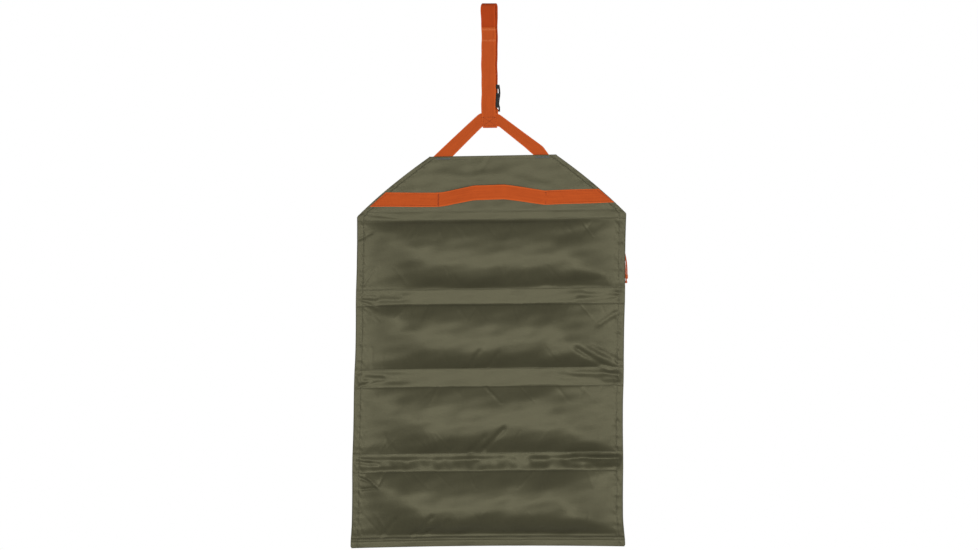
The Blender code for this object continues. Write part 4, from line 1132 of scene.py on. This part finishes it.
def shifted(x, y, z):
    """Straight places moved sideways with the hanging cloth's lean, their heights left alone."""
    x, y, z = np.broadcast_arrays(x, y, z)
    return np.stack([x + lean_at(z), y, z], axis=-1)


def flat_grid(heights, across):
    """A grid of flat places: x, z and the flat map of both."""
    z, x = np.meshgrid(heights, across, indexing="ij")
    return x, z, np.stack([x, z], axis=-1)


def backed(face, thick, flat):
    """A closed slab from a face of points to the same ones a thickness further back."""
    return slab(face, face - np.array([0.0, thick, 0.0]), flat)


def pocket_depth(x, z, low, high, dividers, seed):
    """How far a pocket's cloth stands off the lining: a cushion between neighbouring dividers, nothing at
    the foot, fullest a little below the mouth, with slack folds that run down from the mouth."""
    slot = np.clip(np.searchsorted(dividers, x) - 1, 0, len(dividers) - 2)
    start, width = dividers[slot], (dividers[slot + 1] - dividers[slot])
    share = np.clip((x - start) / width, 0, 1)
    cushion = 1 - np.abs(2 * share - 1) ** 3.2
    up = (z - low) / (high - low)
    full = smooth((z - low - 0.002) / 0.024) * (1 - 0.10 * up)
    rng = np.random.default_rng(seed)
    loose = rng.uniform(0.72, 1.0, len(dividers))[slot]
    fold_at = rng.uniform(0.25, 0.75, len(dividers))[slot]
    fold = bell((share - fold_at - 0.1 * (up - 1)) * width, 0.006) * smooth((up - 0.35) / 0.6)
    waved = 0.0005 * waves(seed, x, z, 0.07, 0.02) * cushion
    return POCKET_LIE + POCKET_STAND * cushion * full * loose - 0.0016 * fold * cushion + waved


def mouth_binding(x, high, depth):
    """The binding: a flat loop of points over the cloth's top edge, carried along X, with closed ends."""
    bend = np.radians([0, 45, 90, 135, 180])
    over = TAPE_OVER * np.cos(bend) - 0.0004
    off = np.concatenate([[0.0006, 0.0007, 0.0007], over, [-0.0015, -0.0015, -0.0013, 0.0]])
    front, back = [-TAPE_HEIGHT, -0.008, -0.003], [-0.003, -0.008, -TAPE_HEIGHT, -TAPE_HEIGHT - 0.0001]
    up = np.concatenate([front, 0.7 * TAPE_OVER * np.sin(bend), back])
    z = high + up[None] + 0 * x[:, None]
    y = LINING_Y + depth(x[:, None] + 0 * z, np.minimum(z, high)) + off[None]
    count = len(off)
    quads, lines_of, columns_of = square_grid(len(x), count, True)
    caps = end_caps(count, len(x))
    round_length = np.append(lengths_along(np.stack([off, up], axis=-1)), 2.6 * TAPE_HEIGHT)
    places = np.stack([x[lines_of], round_length[columns_of]], axis=-1)
    places = np.concatenate([places, np.zeros((len(caps), 4, 2))])
    return shifted(x[:, None], y, z).reshape(-1, 3), np.concatenate([quads, caps]), places, 0


def sew_pockets(number, slots):
    """Makes one row's pockets, with so many slots, and the binding along their mouths."""
    high, low = ROWS[number - 1][0] - MOUTH_DROP, ROWS[number - 1][1] + FOOT_GAP
    dividers = np.linspace(-POCKET_HALF + 0.0005, POCKET_HALF - 0.0005, slots + 1)

    def off_lining(x, z):
        """How far this row's cloth stands off the lining."""
        return pocket_depth(x, z, low, high, dividers, 90 + number)

    def on_pocket(x, z, more=0.0):
        """The pockets' surface, or a level a little above it."""
        return shifted(x, LINING_Y + off_lining(x, z) + more, z)

    def on_binding(x, z):
        """The binding's outer face."""
        return on_pocket(x, z, TAPE_PROUD)

    close = [divider + DIVIDER_CLOSE * np.arange(-1, 2) for divider in dividers[1:-1]]
    across = np.sort(np.concatenate([np.linspace(-POCKET_HALF, POCKET_HALF, 250), *close]))
    grid_x, grid_z, flat = flat_grid(np.linspace(high, low, 56), across)
    foot, side_x, mouth = low + SEAM_STITCH, POCKET_HALF - SEAM_STITCH, high - MOUTH_STITCH
    runs = [sewn_run((divider, high - 0.001), (divider, low + 0.002)) for divider in dividers[1:-1]]
    runs += [sewn_run((side * side_x, high), (side * side_x, foot)) for side in (-1, 1)]
    runs = np.concatenate(runs + [sewn_run((-side_x, foot), (side_x, foot))])
    panel = piece(
        f"row_{number}_pockets",
        [
            backed(on_pocket(grid_x, grid_z), POCKET_CLOTH, flat),
            stitches(on_pocket, *runs.T, 1, outward=1),
        ],
        [POCKET_OLIVE, OLIVE_THREAD],
        sharp=55,
    )
    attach(panel, f"row_{number}")
    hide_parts(f"row_{number}_pocket")
    binding_run = sewn_run((-POCKET_HALF + 0.002, mouth), (POCKET_HALF - 0.002, mouth))
    edge = piece(
        f"row_{number}_mouth_binding",
        [mouth_binding(across, high, off_lining), stitches(on_binding, *binding_run.T, 1, outward=1)],
        [BINDING, BLACK_THREAD],
        sharp=55,
    )
    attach(edge, f"row_{number}")
    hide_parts(f"row_{number}_pocket_binding")


for number, slots in SLOT_COUNTS:
    sew_pockets(number, slots)


# The zip pocket of row 1: two cloths across the row, each turned under along the zip between them
# and sewn down on its other sides.
ZIP_HALF, ZIP_GAP, ZIP_STITCH = 0.229, 0.0030, 0.0055
pocket_top, pocket_foot = ROWS[0][0] - FOOT_GAP, ROWS[0][1] + FOOT_GAP


def zip_pocket_depth(x, z):
    """How far the zip pocket stands off the lining: flat, rounded down to its sewn sides, a little slack."""
    sideways = smooth((ZIP_HALF - np.abs(x)) / 0.007)
    ends = smooth(np.minimum(pocket_top - z, z - pocket_foot) / 0.012)
    loose = waves(97, x, z, 0.11, 0.02) * smooth(np.abs(z - ZIP_Z) / 0.02)
    groove = bell(np.abs(z - ZIP_Z) - ZIP_STITCH, 0.0010)
    return POCKET_LIE + (0.0060 + 0.0009 * loose) * sideways * ends - 0.0003 * groove * sideways


def on_zip_pocket(x, z):
    """The zip pocket's surface at flat places."""
    return shifted(x, LINING_Y + zip_pocket_depth(x, z), z)


zip_shells = []
for z_from, z_to in ((pocket_top, ZIP_Z + ZIP_GAP), (ZIP_Z - ZIP_GAP, pocket_foot)):
    heights = np.linspace(z_from, z_to, 34)
    grid_x, grid_z, flat = flat_grid(heights, np.linspace(-ZIP_HALF, ZIP_HALF, 250))
    zip_shells.append(backed(on_zip_pocket(grid_x, grid_z), POCKET_CLOTH, flat))
zip_rows = (ZIP_Z + ZIP_STITCH, ZIP_Z - ZIP_STITCH, pocket_top - SEAM_STITCH, pocket_foot + SEAM_STITCH)
across, beside, short = ZIP_HALF - 0.003, ZIP_HALF - 0.0015, SEAM_STITCH + 0.001
zip_runs = [sewn_run((-across, z), (across, z)) for z in zip_rows]
zip_runs += [sewn_run((x, pocket_top - short), (x, pocket_foot + short)) for x in (-beside, beside)]
zip_shells.append(stitches(on_zip_pocket, *np.concatenate(zip_runs).T, 1, outward=1))
zip_pocket = piece("zip_pocket_cloth", zip_shells, [POCKET_OLIVE, OLIVE_THREAD], sharp=55)
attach(zip_pocket, "row_1")
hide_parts("row_1_zip_pocket")


# The zip: a nylon coil whose turns lock from both sides, between two black tapes that are sewn behind
# the pocket's cloths. Its metal slider carries an arm with a headed pin for the cord pull.
BAND_HALF, BAND_Y, BAND_THICK, BAND_FROM, BAND_TO = 0.2262, -0.00155, 0.0006, 0.011, 0.0024
CHAIN_HALF_LENGTH, CHAIN_Y, TOOTH_PITCH, TOOTH_RADIUS = 0.2255, -0.00035, 0.0017, 0.00058
BED_HALF, BED_Y, BED_THICK = 0.0027, -0.0006, 0.0014
TOOTH_IN, TOOTH_OUT = 0.0006, 0.0026


def black_tape_finish():
    """Black zip tape: two sets of close ribs on Object coordinates, one across the other, with painted shade
    that darkens the colour between the ribs.
    """
    made, tree, shader = finish_of("black_zip_tape", (0.018, 0.018, 0.019), 0.75, 0.3, 0.1)
    place = add(tree, "ShaderNodeSeparateXYZ", {0: object_place(tree)})
    ribs = [humps(tree, sums(tree, "MULTIPLY", place.outputs[k], np.pi / 0.0008)) for k in (0, 2)]
    height = sums(tree, "MAXIMUM", *ribs)
    # Painted shade: the colour is darker between the ribs.
    colour_between(tree, shader, height, (0.008, 0.008, 0.009), (0.026, 0.026, 0.027))
    raise_by(tree, shader, height, 0.00006)
    return made


def coil_finish():
    """Black nylon coil, moulded smooth, with a fine uneven gloss."""
    made, tree, shader = finish_of("black_zip_coil", (0.011, 0.011, 0.012), 0.5, 0.25)
    fine = noise(tree, object_place(tree), 900.0, 2.0)
    colour_between(tree, shader, fine, (0.009, 0.009, 0.010), (0.019, 0.019, 0.020))
    raise_by(tree, shader, fine, 0.00003)
    return made


ZIP_TAPE, ZIP_COIL = black_tape_finish(), coil_finish()
for side, where in ((1, "upper"), (-1, "lower")):
    heights = ZIP_Z + side * np.linspace(BAND_FROM, BAND_TO, 10)
    band_x, band_z, flat = flat_grid(heights, np.linspace(-BAND_HALF, BAND_HALF, 150))
    band = shifted(band_x, BAND_Y + 0.00012 * waves(101, band_x, band_z, 0.05, 0.02), band_z)
    tape_band = piece(f"zip_band_{where}", [backed(band, BAND_THICK, flat)], [ZIP_TAPE], sharp=60)
    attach(tape_band, "row_1")
    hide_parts(f"zip_tape_{where}")


def on_chain(x, z):
    """The level on which the coil's turns lie."""
    return shifted(x, CHAIN_Y, z)


teeth_x = np.arange(-CHAIN_HALF_LENGTH + 0.001, CHAIN_HALF_LENGTH - 0.001, TOOTH_PITCH)
upper = runs_of(teeth_x, ZIP_Z - TOOTH_IN, teeth_x, ZIP_Z + TOOTH_OUT)
between = teeth_x + TOOTH_PITCH / 2
lower = runs_of(between, ZIP_Z - TOOTH_OUT, between, ZIP_Z + TOOTH_IN)
bed_x, bed_z, bed_flat = flat_grid(
    np.linspace(ZIP_Z + BED_HALF, ZIP_Z - BED_HALF, 4),
    np.linspace(-CHAIN_HALF_LENGTH, CHAIN_HALF_LENGTH, 120),
)
coil = piece(
    "zip_coil",
    [
        backed(shifted(bed_x, BED_Y, bed_z), BED_THICK, bed_flat),
        stitches(on_chain, *np.concatenate([upper, lower]).T, 0, TOOTH_RADIUS, 1),
    ],
    [ZIP_COIL],
    sharp=60,
)
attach(coil, "row_1")
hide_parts("zip_chain")


def softened(node, name, width, finish, levels=(), shaped=None, sharp=38):
    """A copy of a CAD node with its loose triangles merged, its flat faces joined, its sides cut at the
    levels and moved to their shaped places, and its edges rounded by a live Bevel."""
    made = bpy.data.meshes.new_from_object(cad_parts[node])
    made.name = name
    shape = bmesh.new()
    shape.from_mesh(made)
    bmesh.ops.remove_doubles(shape, verts=shape.verts[:], dist=0.000005)
    bmesh.ops.dissolve_limit(
        shape, angle_limit=math.radians(1.5), verts=shape.verts[:], edges=shape.edges[:]
    )
    for level in levels:
        whole = shape.verts[:] + shape.edges[:] + shape.faces[:]
        bmesh.ops.bisect_plane(
            shape, geom=whole, dist=0.00001, plane_co=(0.0, 0.0, level), plane_no=(0.0, 0.0, 1.0)
        )
    for vertex in shape.verts if shaped else ():
        vertex.co = shaped(vertex.co)
    bmesh.ops.recalc_face_normals(shape, faces=shape.faces[:])
    shape.to_mesh(made)
    shape.free()
    made.materials.clear()
    made.materials.append(finish)
    made.shade_smooth()
    made.set_sharp_from_angle(angle=math.radians(180))
    obj = in_scene(name, made)
    edges = obj.modifiers.new("rounded_edges", "BEVEL")
    edges.width, edges.segments = width, 3
    edges.limit_method, edges.angle_limit = "ANGLE", math.radians(sharp)
    edges.harden_normals = True
    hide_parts(node)
    return obj


def uneven_gloss(tree, shader, mask, least, most):
    """Runs a shader's roughness from the least to the most by a mask from 0 to 1."""
    rough = add(tree, "ShaderNodeMapRange", {"Value": mask, "To Min": least, "To Max": most})
    tree.links.new(rough.outputs[0], shader.inputs["Roughness"])


def gunmetal_finish():
    """Worn gunmetal plating: dark metal with fine scratches along X and duller patches."""
    made, tree, shader = finish_of("gunmetal", (0.11, 0.11, 0.115), 0.34)
    shader.inputs["Metallic"].default_value = 1.0
    place = object_place(tree)
    scratch = noise(tree, stretched(tree, place, (120.0, 2500.0, 2500.0)), 1.0, 2.0)
    uneven_gloss(tree, shader, noise(tree, place, 350.0, 3.0), 0.24, 0.46)
    colour_between(tree, shader, scratch, (0.07, 0.07, 0.075), (0.16, 0.16, 0.165))
    raise_by(tree, shader, scratch, 0.00002)
    return made


slider = softened("zip_slider", "zip_slider_body", 0.00035, gunmetal_finish())
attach(slider, "zip_slider")


# The side-release buckle: a socket on the webbing tab behind the junction, and a clip with two springy
# prongs that slides up the strap's back run. Both halves are moulded in black nylon.
BUCKLE_X = 0.0035
WAIST_Z = (
    -0.1865, -0.1815, -0.1780, -0.1745, -0.1700, -0.1650, -0.1607, -0.1564, -0.1500, -0.1440, -0.1413,
)
WAIST_SHARE = (0.99, 0.98, 0.91, 0.87, 0.90, 0.94, 0.98, 1.0, 0.98, 0.93, 0.90)


def moulded_finish():
    """Moulded black nylon: a fine spark-eroded grain, flow marks and a slightly uneven gloss."""
    made, tree, shader = finish_of("moulded_black_nylon", (0.010, 0.0095, 0.009), 0.62, 0.18)
    place = object_place(tree)
    flow = noise(tree, place, 160.0, 3.0, Distortion=1.2)
    uneven_gloss(tree, shader, flow, 0.54, 0.70)
    colour_between(tree, shader, flow, (0.007, 0.0065, 0.006), (0.014, 0.013, 0.012))
    raise_by(tree, shader, noise(tree, place, 2600.0, 2.0), 0.000025)
    return made


def waisted(place):
    """Draws the buckle's sides in towards its middle line by the share of its height: widest at the clip's
    ribs, narrow at the socket."""
    place.x = BUCKLE_X + (place.x - BUCKLE_X) * float(np.interp(place.z, WAIST_Z, WAIST_SHARE))
    return place


BLACK_NYLON = moulded_finish()
for node, body, width in (
    ("buckle_socket", "hanging_strap", 0.0007), ("buckle_clip", "buckle_clip", 0.0006),
    ("prong_left", "prong_left", 0.0003), ("prong_right", "prong_right", 0.0003),
):
    half = softened(node, f"{node}_moulding", width, BLACK_NYLON, WAIST_Z[1:-1], waisted)
    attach(half, body)


# The buckle's tab: a doubled end of webbing behind the junction, folded round the socket's bar and
# sewn to itself below the bar. It is stiffer and a little thinner than the strap.
BAR_Y, BAR_Z, EYE_RADIUS = 0.00125, -0.1865, 0.0026
TAB_FOOT, TAB_FRONT, TAB_BACK, TAB_THICK = -0.2135, -0.00335, -0.00193, 0.0013
TAB_FACE, TACKS_Z, TAB_BOX = -0.00123, -0.2070, (-0.2030, -0.2118)
tab_profile = [(TAB_FRONT, TAB_FOOT), (TAB_FRONT, -0.2005), (-0.00200, -0.1925)]
tab_profile += arc((BAR_Y, BAR_Z), EYE_RADIUS, 180, -45, 14)
tab_profile += [(-0.00150, -0.1985), (TAB_BACK, -0.2010), (TAB_BACK, TAB_FOOT)]
tab_y, tab_z = even_path(tab_profile, 0.0008).T
tab_edges = [
    np.stack([BUCKLE_X + side * WEB_WIDTH / 2 + 0 * tab_y, tab_y, tab_z], axis=-1) for side in (-1, 1)
]


def on_tab(x, z):
    """The tab's back face, below its eye."""
    return np.stack(np.broadcast_arrays(x + BUCKLE_X, TAB_FACE, z), axis=-1)


tab_sewing = [bar_tack(x, TACKS_Z, 0.0016, 0.0030, 3) for x in np.arange(-0.0105, 0.0110, 0.0026)]
tab_sewing = np.concatenate(tab_sewing + [box_stitches(-BOX_HALF, BOX_HALF, *TAB_BOX, False)])
tab = piece(
    "buckle_tab",
    [tape(*tab_edges, thick=TAB_THICK), stitches(on_tab, *tab_sewing.T, 1, 0.0003, 1)],
    [ORANGE_WEBBING, BRIGHT_THREAD],
    sharp=50,
)
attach(tab, "hanging_strap")
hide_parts("buckle_anchor")


# The studio: a broad lamp just behind the camera and a little below it, two weaker ones for the pocket
# side, a pale disc of floor far under the roll, and a world that the camera and the gloss see white.
MIDDLE_HEIGHT, WHITE = -0.5, (1.0, 1.0, 1.0, 1.0)
FLOOR_RINGS, FLOOR_AROUND, FLOOR_RADIUS, FLOOR_Z = 40, 96, 1.9, -1.25


def lamp(name, place, size, watts):
    """A soft oblong lamp, aimed at the roll's middle."""
    light = bpy.data.lights.new(name, "AREA")
    light.shape = "RECTANGLE"
    light.size, light.size_y = size
    light.energy = watts
    obj = in_scene(name, light)
    obj.location = place
    heading = np.array([0.0, 0.0, MIDDLE_HEIGHT]) - np.array(place)
    flat = math.hypot(heading[0], heading[1])
    turn = math.atan2(-heading[0], heading[1])
    obj.rotation_euler = (math.pi / 2 + math.atan2(heading[2], flat), 0.0, turn)


lamp("key", (0.25, -4.2, -0.62), (6.0, 0.5), 205.0)
for name, x in (("back_left", -2.6), ("back_right", 2.6)):
    lamp(name, (x, 3.2, 0.9), (1.6, 1.2), 75.0)

world = bpy.data.worlds.new("white_room")
world.use_nodes = True
room = world.node_tree
room.nodes.clear()
path = add(room, "ShaderNodeLightPath")
seen = sums(room, "MAXIMUM", path.outputs["Is Camera Ray"], path.outputs["Is Glossy Ray"])
seen = sums(room, "MAXIMUM", seen, path.outputs["Is Transmission Ray"])
soft = add(room, "ShaderNodeBackground", {"Color": WHITE, "Strength": 0.15})
white = add(room, "ShaderNodeBackground", {"Color": WHITE, "Strength": 1.0})
either = add(room, "ShaderNodeMixShader", {0: seen, 1: soft.outputs[0], 2: white.outputs[0]})
add(room, "ShaderNodeOutputWorld", {"Surface": either.outputs[0]})
bpy.context.scene.world = world
bpy.context.scene.view_settings.view_transform = "Standard"


def floor_points():
    """A flat disc: rings of points whose distance from the middle grows evenly."""
    turns = np.linspace(0, 2 * np.pi, FLOOR_AROUND, endpoint=False)
    away, angle = np.meshgrid(np.linspace(0.02, FLOOR_RADIUS, FLOOR_RINGS), turns, indexing="ij")
    return np.stack([away * np.cos(angle), away * np.sin(angle), 0 * away + FLOOR_Z], axis=-1)


floor_quads, _, _ = square_grid(FLOOR_RINGS, FLOOR_AROUND, True)
floor_faces = floor_quads.tolist() + [list(range(FLOOR_AROUND - 1, -1, -1))]
floor_mesh = bpy.data.meshes.new("studio_floor")
floor_mesh.from_pydata(floor_points().reshape(-1, 3).tolist(), [], floor_faces)
floor = in_scene("studio_floor", floor_mesh)
pale, pale_tree, pale_shader = finish_of("pale_floor", (0.86, 0.86, 0.85), 0.9, 0.2)
from_middle = add(pale_tree, "ShaderNodeVectorMath", {0: object_place(pale_tree)}, operation="LENGTH")
edge = {"Value": from_middle.outputs["Value"], "From Min": 1.5, "From Max": 2.2}
rim = add(pale_tree, "ShaderNodeMapRange", edge).outputs[0]
glow = add(pale_tree, "ShaderNodeEmission", {"Color": WHITE, "Strength": 1.0})
paler = add(pale_tree, "ShaderNodeMixShader", {0: rim, 1: pale_shader.outputs[0], 2: glow.outputs[0]})
pale_tree.links.new(paler.outputs[0], pale_tree.nodes["Material Output"].inputs["Surface"])
floor_mesh.materials.append(pale)

bpy.context.view_layer.update()
